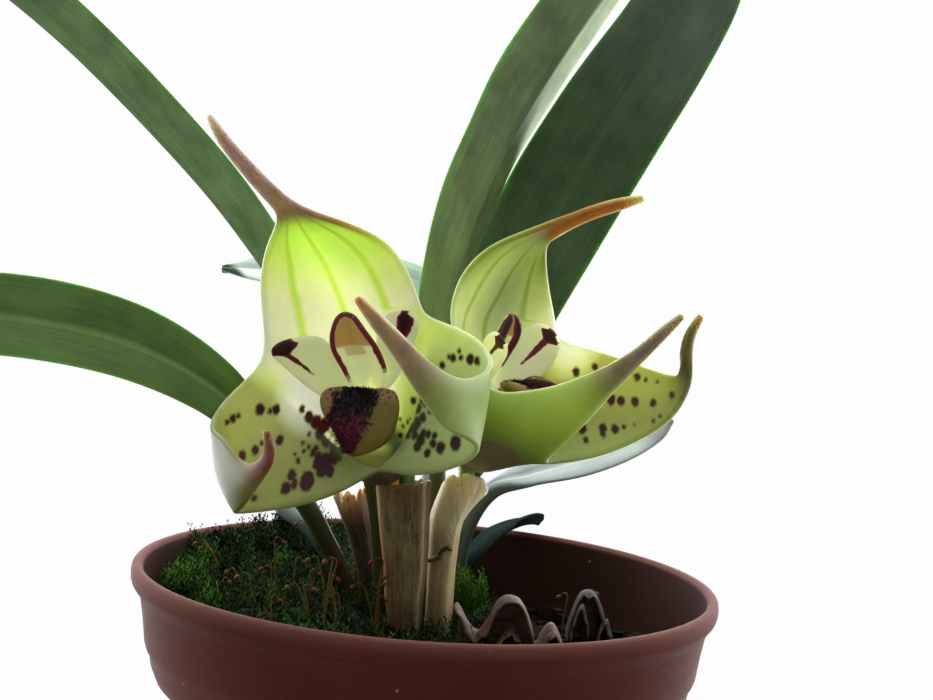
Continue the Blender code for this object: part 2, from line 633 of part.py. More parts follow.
BACK_RIGHT = [
    ((9.5, 7, 10), (9, 8, -1), (8, -6, -11.5), 0),
    ((14.5, 6, 9), (15, 5, -0.5), (14, -6, -10.5), 0),
    ((19.5, 4, 8), (20.5, 1.5, 0), (19.3, -7, -8.7), 0),
    ((24.5, 1, 6.7), (25.5, -2, 0.2), (24.3, -9, -5.7), 0),
    ((28.5, -3, 5.7), (29.2, -6, 1), (28.2, -11, -2.7), 0),
    ((31, -7, 5.7), (31.7, -10, 3), (30.7, -13, 1), 0.2),
    ((30.3, -12, 8), (31.5, -12.5, 7.3), (32.5, -13, 6.3), 0.8),
    ((29.5, -15.5, 10.6), (30.5, -15, 10.5), (31.4, -15.5, 10.4), 1),
    ((29.6, -17, 13.7), (30.4, -16.8, 13.5), (31.2, -17, 13.3), 1),
    ((31.7, -18, 17), (32, -18, 16.8), (32.3, -18, 16.6), 0.3),
]
BACK_LEFT = [
    ((8, -6, -11.5), (-7, -8, -3), (-8.5, -9, 8.5), 0),
    ((8.5, -12, -9.5), (0.5, -16, -4.5), (-3, -14, 0.5), 0),
    ((11, -16, -6), (6.5, -20, -2.5), (2.5, -17, 1.5), 0),
    ((13.5, -20, -2.5), (10.5, -23.5, 0.3), (7.5, -21, 3), 0),
    ((16, -24, 1.5), (13.8, -26.5, 3.3), (12, -24, 5.5), 0.2),
    ((18.5, -28, 5.6), (17.2, -29, 6.8), (16, -28, 8.2), 0.6),
    ((21.6, -31, 9.7), (20.8, -31.3, 10.5), (20, -31, 11.4), 1),
    ((24.4, -33, 13.6), (23.7, -33.2, 14.2), (23, -33, 14.8), 1),
    ((26.4, -35, 16.8), (26.1, -35, 17), (25.8, -35, 17.2), 0.3),
]

# The leaves, from root to tip: x, y, z and half width, then the way the upper face looks at
# the root and at the tip, and how deep the channel is.
LEAVES = {
    "leaf_high_left": (
        [(-7.3, 6, 70.6, 1.6), (-7.9, 6, 88, 1.6), (-11.1, 6, 106, 1.7), (-16.2, 7.2, 119, 2.4),
         (-24.5, 9, 133, 4.8), (-36.3, 11, 148.8, 6.8), (-51.2, 13.8, 164.6, 7.6),
         (-77.7, 19.5, 187.4, 8), (-103, 23, 204, 7.2), (-121, 26, 211.5, 5),
         (-134, 28, 214.5, 1)],
        (0.52, 0.58, 0.4), (0.56, 0.5, 0.62), 0.28),
    "leaf_low_left": (
        [(-13.9, 9, 70.6, 1.6), (-15.2, 9, 86, 1.6), (-19.4, 7.5, 95, 1.7), (-25, 5.5, 104, 2.2),
         (-32, 4, 113, 3.6), (-42, 2, 122.2, 6.1), (-58, 0, 129.2, 8.1), (-78, -4, 132.1, 8.7),
         (-98, -8, 130.3, 8), (-113, -11, 125.6, 5.3), (-122, -13, 121.3, 1)],
        (0.4, -0.7, 0.5), (0.1, -0.79, 0.6), 0.22),
    "leaf_centre": (
        [(0.9, 14, 70.6, 1.6), (0.9, 14.2, 88, 1.6), (0.6, 15.5, 106, 1.7),
         (-0.9, 16.5, 121, 2.8), (-0.9, 17, 136, 4.9), (1.3, 17.8, 148.5, 6.5),
         (4.3, 19, 159, 7.9), (8.2, 21, 170, 8.4), (15.4, 25, 185, 9.8), (29, 31, 208, 9),
         (41, 35.5, 225, 6.2), (48.5, 38.5, 234, 1)],
        (-0.5, 0.7, 0.2), (-0.66, 0.62, 0.42), 0.36),
    "leaf_broad_right": (
        [(2.9, 4.2, 70.6, 1.2), (2.7, 4.3, 87, 1.2), (2.5, 4.6, 95, 1.2),
         (2.8, 4.8, 101, 1.2), (4.5, 6.1, 105, 1.2), (8.2, 9.8, 110, 1.3),
         (10.6, 13.4, 114, 1.8), (10.6, 17, 119.5, 3.6), (10.2, 20.6, 127, 6.6), (11.8, 24.6, 139, 9.6),
         (19.5, 27.8, 158, 11.4), (29.2, 27, 177, 11.4), (38, 26.8, 192.5, 10.6),
         (45.8, 27.4, 207, 8.6), (53.5, 28.6, 219, 1)],
        (0.2, -0.9, 0.3), (-0.25, -0.9, 0.3), 0.16),
    "leaf_behind": (
        [(-2.6, 20, 70.6, 1.5), (-2.4, 20.6, 88, 1.5), (-0.8, 24, 106, 1.6), (2.4, 31, 122, 2.4),
         (1.4, 37, 133.5, 4.4), (-7.4, 41.5, 141.6, 6.2), (-20, 44.5, 143.7, 7), (-32, 46, 143.8, 6.4),
         (-41.5, 46.5, 143.4, 4.2), (-47.6, 46.5, 143.2, 0.8)],
        (-0.4, -0.7, 0.4), (0.0, -0.36, 0.93), 0.16),
    "leaf_low_right": (
        [(5.6, 12, 70.6, 1.5), (5.6, 12.2, 88, 1.5), (6.8, 12.6, 98, 1.7), (11, 13, 105.4, 3),
         (18, 14, 108.6, 5.8), (26, 15.5, 111.3, 7.8), (34, 17, 114.8, 8),
         (40.5, 18.6, 118.2, 5.8), (45, 19.8, 120.8, 1.4)],
        (-0.9, -0.2, 0.3), (-0.35, -0.42, 0.85), 0.12),
    "leaf_short_right": (
        [(4.4, 18.5, 70.6, 1.6), (4.6, 18.6, 82, 1.9), (6.6, 20.8, 88, 3.1), (10.5, 28, 91.8, 4.2),
         (14.6, 36, 94, 4.6), (18.6, 43.5, 94.8, 4), (21.4, 48.4, 94.6, 3.0), (23, 51.2, 94, 1.6)],
        (-0.2, 0.5, 0.6), (-0.5, -0.4, 0.8), 0.2),
    "leaf_short_left": (
        [(-17.3, 14.2, 70.6, 1.4), (-17.8, 14.4, 86, 1.4), (-21.5, 19, 93.2, 2.2),
         (-27, 25.5, 96, 3), (-31.5, 31, 97.6, 2.6), (-35.5, 35.5, 98.4, 0.8)],
        (0.3, -0.5, 0.6), (0.3, -0.5, 0.8), 0.2),
}

GREEN = (0.06, 0.12, 0.035)
DARK_GREEN = (0.03, 0.055, 0.025)
PALE_GREEN = (0.42, 0.52, 0.46)
SEPAL_GREEN = (0.47, 0.60, 0.15)
CREAM = (0.62, 0.68, 0.40)
MAROON = (0.03, 0.008, 0.012)
STRAW = (0.36, 0.28, 0.14)
LEAF_FINISHES = {
    "leaf_broad_right": ("leaf_dark", DARK_GREEN, 0.35),
    "leaf_behind": ("leaf_pale", PALE_GREEN, 0.3),
    "leaf_low_right": ("leaf_pale", PALE_GREEN, 0.3),
    "leaf_short_left": ("leaf_pale", PALE_GREEN, 0.3),
}


def build_leaves():
    """Every leaf, and the cutters for the holes their stalks stand in."""
    holes = []
    for name, (rows, face_low, face_high, fold) in LEAVES.items():
        finish = material(*LEAF_FINISHES.get(name, ("leaf_green", GREEN, 0.35)))
        leaf(name, rows, face_low, face_high, fold, finish)
        holes.append(stem_hole(name + "_hole", rows, finish))
    return holes


def build_front_bloom():
    """The bloom that faces the viewer and looks up a little."""
    sepal_finish = material("sepal", SEPAL_GREEN, 0.45)
    seat = (-11.6, -3.4, 121.6)
    base = (-12.2, -5.6, 124.3)
    hinge = (-12.6, -8.6, 123.6)
    toward = (np.array(base) - seat) / np.linalg.norm(np.array(base) - seat)
    below = np.array(seat) - 2.5 * toward
    stalk = [(-3.2, -2.2, 70.6, PEDUNCLE_RADIUS), (-3.4, -2.4, 88, PEDUNCLE_RADIUS),
             (-4.2, -2.9, 103, PEDUNCLE_RADIUS), (-4.8, -2.4, 108.6, 1.5),
             (-5.6, 0.8, 112.3, 2.0), (-7.6, 3.2, 115.5, 2.2),
             (*below, 1.9), (*seat, PEG_RADIUS)]
    bloom_shell("bloom_front_sepals", FRONT_THROAT, FRONT_CUP,
                [FRONT_DORSAL, FRONT_RIGHT, FRONT_LEFT], stalk, sepal_finish)
    column_and_petals("bloom_front_column", FRONT_THROAT, FRONT_HOOD, FRONT_PETALS, base, seat,
                      hinge, material("petal", CREAM, 0.4))
    lip_place = {"origin": (-13.1, -10.2, 124.4), "yaw": -14.0, "pitch": 58.0}
    lip("bloom_front_lip", lip_place, hinge, material("lip", MAROON, 0.9))


def build_back_bloom():
    """The bloom behind, turned to the right."""
    sepal_finish = material("sepal", SEPAL_GREEN, 0.45)
    seat = (6.0, 7.6, 123.2)
    base = (8.2, 4.6, 126.8)
    hinge = (10.0, 3.2, 125.2)
    toward = (np.array(base) - seat) / np.linalg.norm(np.array(base) - seat)
    below = np.array(seat) - 2.5 * toward
    stalk = [(2.9, 0.8, 70.6, 1.2), (2.7, 0.8, 88, 1.2), (2.6, 0.9, 97, 1.2),
             (3.4, 1.2, 102.5, 1.2), (5.6, 2.0, 108.4, 1.3), (5.6, 5.0, 112.2, 1.9),
             (3.2, 8.8, 115, 2.2), (*below, 1.9), (*seat, PEG_RADIUS)]
    bloom_shell("bloom_back_sepals", BACK_THROAT, BACK_CUP,
                [BACK_DORSAL, BACK_RIGHT, BACK_LEFT], stalk, sepal_finish)
    column_and_petals("bloom_back_column", BACK_THROAT, BACK_HOOD, BACK_PETALS, base, seat,
                      hinge, material("petal", CREAM, 0.4))
    lip_place = {"origin": (13.2, 1.4, 125.5), "yaw": 58.0, "pitch": -5.0}
    lip("bloom_back_lip", lip_place, hinge, material("lip", MAROON, 0.9))


def build_sheaths():
    """The dry sheaths round the stems' feet, and the holes that they stand in."""
    straw = material("sheath", STRAW, 0.8)
    brown = material("sheath_old", (0.20, 0.15, 0.10), 0.85)
    front = [(-3.2, -2.2, 71.5, 2.8, 2.7), (-3.2, -2.4, 80, 2.8, 2.8), (-3.9, -2.6, 87, 3.4, 3.1),
             (-4.0, -2.8, 92, 3.8, 3.3), (-4.7, -2.9, 99, 4.4, 3.6), (-5.5, -2.8, 108.4, 4.8, 4.1)]
    right = [(2.9, 2.5, 71.5, 2.5, 4.9), (2.7, 2.5, 80, 2.5, 5.0), (2.6, 2.6, 87, 2.5, 5.1),
             (2.6, 2.8, 94, 2.6, 5.2), (2.7, 3.0, 99.5, 2.9, 5.4), (3.3, 3.2, 102.2, 3.4, 5.5),
             (5.7, 3.4, 107, 4.3, 5.8)]
    old = [(-10.4, 12.6, 71.5, 1.8, 1.8), (-11, 12.4, 86, 1.9, 1.9), (-12.8, 11.6, 94, 2.2, 2),
           (-14.4, 11, 99, 2.8, 2.2), (-15.8, 10.6, 103.5, 3.2, 2.2)]
    sheath("sheath_front", front, straw, 7, 0.035, 0.4)
    sheath("sheath_right", right, straw, 5, 0.03, 0.7, slant=3.4)
    sheath("sheath_old", old, brown, 5, 0.04, 1.4, sides=12)
    holes = []
    for name, rows in (("front", front), ("right", right), ("old", old)):
        rings = []
        for x, y, z, wide, deep in [(*rows[0][:2], ROOT_DEPTH, *rows[0][3:])] + rows[1:3]:
            rings.append([(x + (wide + 3 * GAP) * math.cos(a), y + (deep + 3 * GAP) * math.sin(a), z)
                          for a in np.linspace(0, 2 * math.pi, 16, endpoint=False)])
        holes.append(add_object(f"sheath_{name}_hole", *skin(rings), straw))
    return holes


def build_dead_leaf():
    """Two dead leaves dried into arches, standing on the mix at the right."""
    arched = [
        ((5.0, -9.5, 87.8), (5.8, -8, 88.0), (6.4, -6.2, 86.6)),
        ((7.0, -10, 84.4), (7.6, -8, 85.0), (8.2, -5.6, 83.6)),
        ((9.3, -11, 81.8), (9.8, -8, 83.6), (10.2, -5, 82.2)),
        ((11.3, -12, 84.3), (11.7, -8, 87.4), (12, -4.6, 82.4)),
        ((13.2, -12.2, 88.9), (13.4, -8, 90.8), (13.4, -4, 83)),
        ((16.4, -12.4, 89.2), (16.2, -8, 90.7), (16, -3.8, 82.4)),
        ((18.8, -12.2, 85.0), (18.4, -8, 87.2), (18, -4, 81)),
        ((20.1, -12, 79.9), (19.9, -8, 82.4), (19.7, -4.4, 79.4)),
        ((21.2, -11, 81.3), (21.3, -7.5, 85.4), (21.4, -4.4, 81.8)),
        ((23, -10.6, 84), (22.8, -7, 86.2), (22.8, -4.4, 83)),
        ((24.8, -10.2, 80.8), (24.6, -7, 82.8), (24.4, -5, 80.8)),
        ((26, -10, 78.9), (25.8, -7, 79.2), (25.6, -5.2, 79)),
    ]
    brown = material("dead_leaf", (0.25, 0.13, 0.08), 0.8)
    rest_on_mix(blade("dead_leaf", arched, 0.7, brown))
    upright = [
        ((27.2, 6.6, 78.8), (27.0, 9, 79.2), (27.2, 12, 79)),
        ((27.6, 6.8, 82.5), (27.5, 9, 83.2), (27.7, 11.6, 82.6)),
        ((28.9, 7.2, 86.8), (29.0, 9, 88), (29.2, 11, 86.6)),
        ((31.2, 7.6, 87.4), (31.4, 9.4, 88.4), (31.6, 11.2, 87)),
        ((33.2, 7.4, 84), (33.5, 9.4, 85), (33.7, 11.6, 83.8)),
        ((34.4, 7.4, 79.6), (34.7, 9.6, 80.2), (34.9, 11.8, 79.8)),
    ]
    dark = material("dead_leaf_dark", (0.05, 0.04, 0.035), 0.85)
    rest_on_mix(blade("dead_leaf_dark", upright, 0.7, dark))


def rest_on_mix(made):
    """The object let down until its lowest point clears the mix below it."""
    apply_modifiers(made)
    drop = min(v.co.z / MM - mix_height(v.co.x / MM, v.co.y / MM) for v in made.data.vertices)
    for v in made.data.vertices:
        v.co.z -= (drop - 2 * GAP) * MM


def main():
    clear_scene()
    holes = build_leaves() + build_sheaths()
    build_front_bloom()
    build_back_bloom()
    build_dead_leaf()
    pot(material("pot_plastic", (0.085, 0.032, 0.024), 0.4))
    potting_mix(material("bark_mix", (0.02, 0.014, 0.009), 0.95), holes)
    moss(material("moss", (0.02, 0.05, 0.012), 0.9), holes)


main()
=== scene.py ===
import math
import random

import bmesh
import bpy
import numpy as np
from mathutils import Matrix, Vector, noise
from mathutils.bvhtree import BVHTree


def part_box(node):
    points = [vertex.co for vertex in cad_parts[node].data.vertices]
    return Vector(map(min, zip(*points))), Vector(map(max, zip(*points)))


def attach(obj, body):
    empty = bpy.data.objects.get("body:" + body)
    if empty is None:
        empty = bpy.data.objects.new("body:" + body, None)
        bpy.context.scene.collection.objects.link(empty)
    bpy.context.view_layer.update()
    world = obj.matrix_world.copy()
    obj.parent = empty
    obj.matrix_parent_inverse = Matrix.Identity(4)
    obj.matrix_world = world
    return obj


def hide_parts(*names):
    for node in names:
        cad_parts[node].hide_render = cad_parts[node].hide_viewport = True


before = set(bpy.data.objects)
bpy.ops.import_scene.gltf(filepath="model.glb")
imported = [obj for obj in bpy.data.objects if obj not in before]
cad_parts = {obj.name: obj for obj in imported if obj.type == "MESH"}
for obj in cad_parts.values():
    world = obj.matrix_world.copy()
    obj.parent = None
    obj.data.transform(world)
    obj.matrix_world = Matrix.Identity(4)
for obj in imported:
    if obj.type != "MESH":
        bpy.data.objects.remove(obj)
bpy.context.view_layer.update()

MM = 0.001


# The view: the plant is seen from a little above the pot's rim, close up, with the camera
# tilted down by a few degrees and rolled to its right.
PICTURE_WIDTH = 933
PICTURE_HEIGHT = 700
FOCAL_PIXELS = 1500.0
SENSOR = 36.0
EYE = (0.0, -269.6, 147.4)
ROLL, PITCH, YAW = (math.radians(a) for a in (4.29, -3.17, 0.88))

camera_data = bpy.data.cameras.new("camera")
camera_data.sensor_width = SENSOR
camera_data.lens = FOCAL_PIXELS * SENSOR / PICTURE_WIDTH
camera_data.clip_start = 0.01
camera_data.clip_end = 50.0
ahead = Vector((math.sin(YAW) * math.cos(PITCH), math.cos(YAW) * math.cos(PITCH), math.sin(PITCH)))
level = Vector((math.cos(YAW), -math.sin(YAW), 0.0))
upward = level.cross(ahead)
right = level * math.cos(ROLL) + upward * math.sin(ROLL)
top = -level * math.sin(ROLL) + upward * math.cos(ROLL)
camera = bpy.data.objects.new("camera", camera_data)
VIEW = Matrix((right, top, -ahead)).transposed()
camera.matrix_world = Matrix.Translation(Vector(EYE) * MM) @ VIEW.to_4x4()
bpy.context.scene.collection.objects.link(camera)
bpy.context.scene.camera = camera


# The daylight: a bright overcast window behind the plant, a dim room in front of it. The window
# is brighter than white, so that it shines through the sepals, and it shows as plain white.
WINDOW_LIGHT = 4.2
ROOM_LIGHT = 0.34
SKY_LIGHT = 0.85


def linear(code):
    """The linear colour of an sRGB hex code."""
    parts = [int(code[i : i + 2], 16) / 255 for i in (0, 2, 4)]
    return (*(p / 12.92 if p <= 0.04045 else ((p + 0.055) / 1.055) ** 2.4 for p in parts), 1.0)


def put(tree, kind, settings, socket=0):
    """Adds a shader node and gives back its output of the given number or name. A setting is a
    field of the node, or a socket by name or number, and its value is a constant or the output
    that feeds it. Every Mix here is one of colours, and its colour is its third output."""
    made = tree.nodes.new("ShaderNode" + kind)
    if kind == "Mix":
        made.data_type, socket = "RGBA", 2
    for key, value in settings.items():
        if isinstance(key, str) and hasattr(made, key):
            setattr(made, key, value)
        elif isinstance(value, bpy.types.NodeSocket):
            tree.links.new(value, made.inputs[key])
        else:
            made.inputs[key].default_value = value
    return made.outputs[socket] if made.outputs else None


world = bpy.data.worlds.new("daylight")
world.use_nodes = True
bpy.context.scene.world = world
tree = world.node_tree
tree.nodes.clear()
look = put(tree, "TexCoord", {}, "Generated")
ahead, height = (put(tree, "SeparateXYZ", {0: look}, axis) for axis in "YZ")
room = put(tree, "MapRange", {
    "Value": height, "From Min": -0.6, "From Max": 0.0, "To Min": 0.15 * ROOM_LIGHT,
    "To Max": ROOM_LIGHT})
pane = put(tree, "MapRange", {
    "Value": height, "From Min": -0.7, "From Max": 0.0, "To Min": 0.5 * WINDOW_LIGHT,
    "To Max": WINDOW_LIGHT})
window = put(tree, "MapRange", {
    "interpolation_type": "SMOOTHSTEP", "Value": ahead, "From Min": -0.15, "From Max": 0.6,
    "To Min": room, "To Max": pane})
sky = put(tree, "MapRange", {
    "interpolation_type": "SMOOTHSTEP", "Value": height, "From Min": 0.15, "From Max": 1.0,
    "To Min": 0.0, "To Max": SKY_LIGHT})
both = put(tree, "Math", {"operation": "MAXIMUM", 0: window, 1: sky})
lit = put(tree, "Background", {"Color": linear("fafbff"), "Strength": both})
seen = put(tree, "Background", {"Color": linear("fdfdfd"), "Strength": 1.0})
direct = put(tree, "LightPath", {}, "Is Camera Ray")
shown = put(tree, "MixShader", {0: direct, 1: lit, 2: seen})
put(tree, "OutputWorld", {"Surface": shown})
bpy.context.scene.view_settings.view_transform = "Standard"

# The floor: a plain pale board under the pot, out of the photographed frame.
FLOOR_RADIUS = 0.13


def new_finish(name, rough, settings=None):
    """A material with its tree, its Principled shader and its coordinates in metres."""
    made = bpy.data.materials.new(name)
    made.use_nodes = True
    tree = made.node_tree
    shader = tree.nodes["Principled BSDF"]
    shader.inputs["Roughness"].default_value = rough
    for key, value in (settings or {}).items():
        shader.inputs[key].default_value = value
    return made, tree, shader, put(tree, "TexCoord", {}, "Object")


board, tree, shader, place = new_finish("pale_matt_board", 0.8)
grain = put(tree, "TexNoise", {"Vector": place, "Scale": 40.0, "Detail": 4.0})
shade = put(tree, "Mix", {0: grain, 6: linear("d8d6d2"), 7: linear("e0deda")})
tree.links.new(shade, shader.inputs["Base Color"])
mesh = bpy.data.meshes.new("floor")
turns = np.linspace(0, 2 * math.pi, 96, endpoint=False)
corners = [(FLOOR_RADIUS * math.cos(a), FLOOR_RADIUS * math.sin(a), -0.0002) for a in turns]
mesh.from_pydata(corners, [], [tuple(range(len(corners)))])
mesh.materials.append(board)
floor = bpy.data.objects.new("floor", mesh)
bpy.context.scene.collection.objects.link(floor)

# The pot: a red-brown nursery pot, injection moulded in one piece of polypropylene, with a rolled
# rim, a deep collar, a tapered body and a foot ring round a floor with drain holes.
RIM_RADIUS = 52.5
POT_HEIGHT = 92.0
COLLAR_RADIUS = 50.6
COLLAR_LOW = 78.5
SHOULDER_RADIUS = 43.8
SHOULDER_LOW = 67.5
FOOT_RADIUS = 34.2
PAD_RADIUS = 9.0
WALL = 1.4
FLOOR_TOP = 4.5
POT_TURNS = 144
DRAIN_CIRCLE = 19.0
DRAIN_RADIUS = 3.0


def smooth_path(rows, count):
    """Rows at even steps on a Catmull-Rom curve through the given rows of any width."""
    p = np.asarray(rows, float)
    ends = np.vstack([2 * p[0] - p[1], p, 2 * p[-1] - p[-2]])
    path = []
    for step in np.linspace(0, len(p) - 1, count):
        i = min(int(step), len(p) - 2)
        t = step - i
        a, b, c, d = ends[i : i + 4]
        bend = (2 * a - 5 * b + 4 * c - d) * t * t + (3 * b - a - 3 * c + d) * t**3
        path.append(0.5 * (2 * b + (c - a) * t + bend))
    return np.array(path)


def piece(name, points, faces, finishes, nodes, marks=None, picks=None, turned=True):
    """A mesh piece from points in millimetres, with its finishes, the marks that the shader
    reads at each point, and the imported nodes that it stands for."""
    mesh = bpy.data.meshes.new(name)
    mesh.from_pydata((np.asarray(points, float) * MM).tolist(), [], faces)
    for mark, values in (marks or {}).items():
        found = mesh.attributes.new(mark, "FLOAT", "POINT")
        found.data.foreach_set("value", np.asarray(values, np.float32))
    for finish in finishes:
        mesh.materials.append(finish)
    if picks is not None:
        mesh.polygons.foreach_set("material_index", np.asarray(picks, np.int32))
    if turned:
        work = bmesh.new()
        work.from_mesh(mesh)
        bmesh.ops.recalc_face_normals(work, faces=work.faces)
        work.to_mesh(mesh)
        work.free()
    mesh.shade_smooth()
    made = bpy.data.objects.new(name, mesh)
    bpy.context.scene.collection.objects.link(made)
    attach(made, "root")
    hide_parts(*nodes)
    return made


# Matt polypropylene shows its own red brown and hardly any gleam. A painted highlight makes the rim a little
# paler and pinker, and painted shade makes the inside wall dark.
plastic, tree, shader, place = new_finish("moulded_polypropylene", 0.55, {"IOR": 1.49,
                                                                        "Specular IOR Level": 0.06})
cloud = put(tree, "TexNoise", {"Vector": place, "Scale": 70.0, "Detail": 5.0, "Roughness": 0.6})
tone = put(tree, "Mix", {0: cloud, 6: linear("4c2016"), 7: linear("683326")})
up = put(tree, "SeparateXYZ", {0: place}, "Z")
# Painted highlight: the top of the rim is painted paler and pinker.
rim = put(tree, "MapRange", {"Value": up, "From Min": 0.0892, "From Max": 0.0914, "To Min": 0.0,
                             "To Max": 0.75})
tone = put(tree, "Mix", {0: rim, 6: tone, 7: linear("7e5248")})
# Painted shade: the inside wall, the faces turned toward the pot's axis, is painted darker.
facing = put(tree, "NewGeometry", {}, "Normal")
facing = put(tree, "VectorMath", {"operation": "DOT_PRODUCT", 0: facing, 1: place}, "Value")
within = put(tree, "MapRange", {"Value": facing, "From Min": 0.0, "From Max": -0.02})
inner_painted_shade = put(tree, "TexNoise", {"Vector": place, "Scale": 45.0, "Detail": 6.0, "Roughness": 0.7})
inner_painted_shade = put(tree, "Mix", {0: inner_painted_shade, 6: linear("2e1913"), 7: linear("45291f")})
tone = put(tree, "Mix", {0: within, 6: tone, 7: inner_painted_shade})
# Specks of dust and splash, each about 0.3 mm, in loose patches.
dust = put(tree, "TexVoronoi", {"Vector": place, "Scale": 260.0, "Randomness": 1.0}, "Distance")
dust = put(tree, "MapRange", {"Value": dust, "From Min": 0.045, "From Max": 0.08, "To Min": 1.0,
                              "To Max": 0.0})
patch = put(tree, "TexNoise", {"Vector": place, "Scale": 120.0, "Detail": 2.0})
patch = put(tree, "MapRange", {"Value": patch, "From Min": 0.52, "From Max": 0.64, "To Max": 0.8})
dust = put(tree, "Math", {"operation": "MULTIPLY", 0: dust, 1: patch})
tone = put(tree, "Mix", {0: dust, 6: tone, 7: linear("b39a8c")})
tree.links.new(tone, shader.inputs["Base Color"])
scuff = put(tree, "TexNoise", {"Vector": place, "Scale": 900.0, "Detail": 3.0})
worn = put(tree, "MapRange", {"Value": scuff, "To Min": 0.55, "To Max": 0.75})
tree.links.new(worn, shader.inputs["Roughness"])
bump = put(tree, "Bump", {"Strength": 0.25, "Distance": 0.00008, "Height": scuff})
tree.links.new(bump, shader.inputs["Normal"])

outer = [
    (RIM_RADIUS - 1.1, POT_HEIGHT), (RIM_RADIUS - 0.45, POT_HEIGHT - 0.12),
    (RIM_RADIUS - 0.12, POT_HEIGHT - 0.6), (RIM_RADIUS, POT_HEIGHT - 1.4),
    (RIM_RADIUS - 0.05, POT_HEIGHT - 2.4), (RIM_RADIUS - 0.3, POT_HEIGHT - 3.2),
    (RIM_RADIUS - 0.8, POT_HEIGHT - 3.9), (COLLAR_RADIUS + 0.55, POT_HEIGHT - 4.6),
    (COLLAR_RADIUS + 0.05, POT_HEIGHT - 5.8), (COLLAR_RADIUS - 0.6, COLLAR_LOW + 4.0),
    (COLLAR_RADIUS - 1.1, COLLAR_LOW), (COLLAR_RADIUS - 1.4, COLLAR_LOW - 0.9),
    (COLLAR_RADIUS - 2.0, COLLAR_LOW - 1.8), (COLLAR_RADIUS - 2.4, COLLAR_LOW - 4.0),
    (SHOULDER_RADIUS + 3.4, SHOULDER_LOW + 4.6), (SHOULDER_RADIUS + 1.9, SHOULDER_LOW + 3.0),
    (SHOULDER_RADIUS + 0.8, SHOULDER_LOW + 1.8), (SHOULDER_RADIUS + 0.2, SHOULDER_LOW + 0.9),
    (SHOULDER_RADIUS, SHOULDER_LOW), (SHOULDER_RADIUS - 0.3, SHOULDER_LOW - 2.0),
    (FOOT_RADIUS + 5.2, 30.0), (FOOT_RADIUS + 1.2, 3.0), (FOOT_RADIUS + 0.6, 0.7),
    (FOOT_RADIUS - 0.2, 0.0), (FOOT_RADIUS - 4.0, 0.0), (FOOT_RADIUS - 4.5, 0.5),
    (FOOT_RADIUS - 4.8, 2.0), (PAD_RADIUS + 0.8, 2.0), (PAD_RADIUS + 0.2, 0.2), (PAD_RADIUS, 0.0),
    (0.0, 0.0), (0.0, FLOOR_TOP),
]
inner = [
    (FOOT_RADIUS - 1.0, FLOOR_TOP), (SHOULDER_RADIUS - WALL - 0.2, SHOULDER_LOW - 0.5),
    (SHOULDER_RADIUS + 0.6 - WALL, SHOULDER_LOW + 2.8), (SHOULDER_RADIUS + 2.8 - WALL, SHOULDER_LOW + 5.4),
    (COLLAR_RADIUS - 2.2 - WALL, COLLAR_LOW - 2.6), (COLLAR_RADIUS - 1.1 - WALL, COLLAR_LOW + 1.0),
    (COLLAR_RADIUS - WALL, POT_HEIGHT - 4.6), (RIM_RADIUS - 2.25, POT_HEIGHT - 1.6),
    (RIM_RADIUS - 2.1, POT_HEIGHT - 0.8), (RIM_RADIUS - 1.7, POT_HEIGHT - 0.15),
]
profile = outer + inner
points, rings, faces = [], [], []
for radius, height in profile:
    if radius == 0.0:
        rings.append([len(points)] * POT_TURNS)
        points.append((0.0, 0.0, height))
        continue
    rings.append(list(range(len(points), len(points) + POT_TURNS)))
    for k in range(POT_TURNS):
        a = 2 * math.pi * k / POT_TURNS
        points.append((radius * math.cos(a), radius * math.sin(a), height))
for i, near in enumerate(rings):
    far = rings[(i + 1) % len(rings)]
    if len(set(near + far)) == 2:
        continue
    for k in range(POT_TURNS):
        after = (k + 1) % POT_TURNS
        faces.append(tuple(dict.fromkeys((near[k], near[after], far[after], far[k]))))
pot = piece("pot_body", points, faces, [plastic], ["pot"])
for k in range(6):
    a = 2 * math.pi * k / 6
    bpy.ops.mesh.primitive_cylinder_add(vertices=40, radius=DRAIN_RADIUS * MM, depth=0.02, location=(
        DRAIN_CIRCLE * math.cos(a) * MM, DRAIN_CIRCLE * math.sin(a) * MM, 0.003))
    drill = bpy.context.object
    taken = pot.modifiers.new(f"drain_{k}", "BOOLEAN")
    taken.operation = "DIFFERENCE"
    taken.object = drill
    taken.solver = "EXACT"
bpy.context.view_layer.update()
drilled = bpy.data.meshes.new_from_object(pot.evaluated_get(bpy.context.evaluated_depsgraph_get()))
for taken in list(pot.modifiers):
    bpy.data.objects.remove(taken.object, do_unlink=True)
pot.modifiers.clear()
pot.data = drilled


# The potting mix: a firm plug of dark, damp bark crumbs, level under the moss and lumpy where it
# lies bare at the right, with loose chips of bark on it.
MIX_TOP = 78.0
MIX_RADIUS = 46.9
GAP = 0.3
CRUMB_ROWS = 26
CHIPS = 520


def eased(share):
    """A share held between 0 and 1 and eased at both ends."""
    held = min(1.0, max(0.0, share))
    return held * held * (3 - 2 * held)


def mix_height(x, y):
    """The top of the mix in millimetres."""
    bare = eased((x - 18.0) / 8.0)
    lumps = math.sin(0.22 * x + 1.1) * math.cos(0.2 * y) + 0.5 * math.sin(0.3 * x - 0.25 * y)
    return MIX_TOP + 0.8 * lumps * bare


def ring_faces(base, rings, count):
    """The faces of a tube between rings of points that follow each other, the first of which is
    numbered base."""
    faces = []
    for near in range(base, base + (rings - 1) * count, count):
        for k in range(count):
            after, far = (k + 1) % count, near + count
            faces.append((near + k, near + after, far + after, far + k))
    return faces


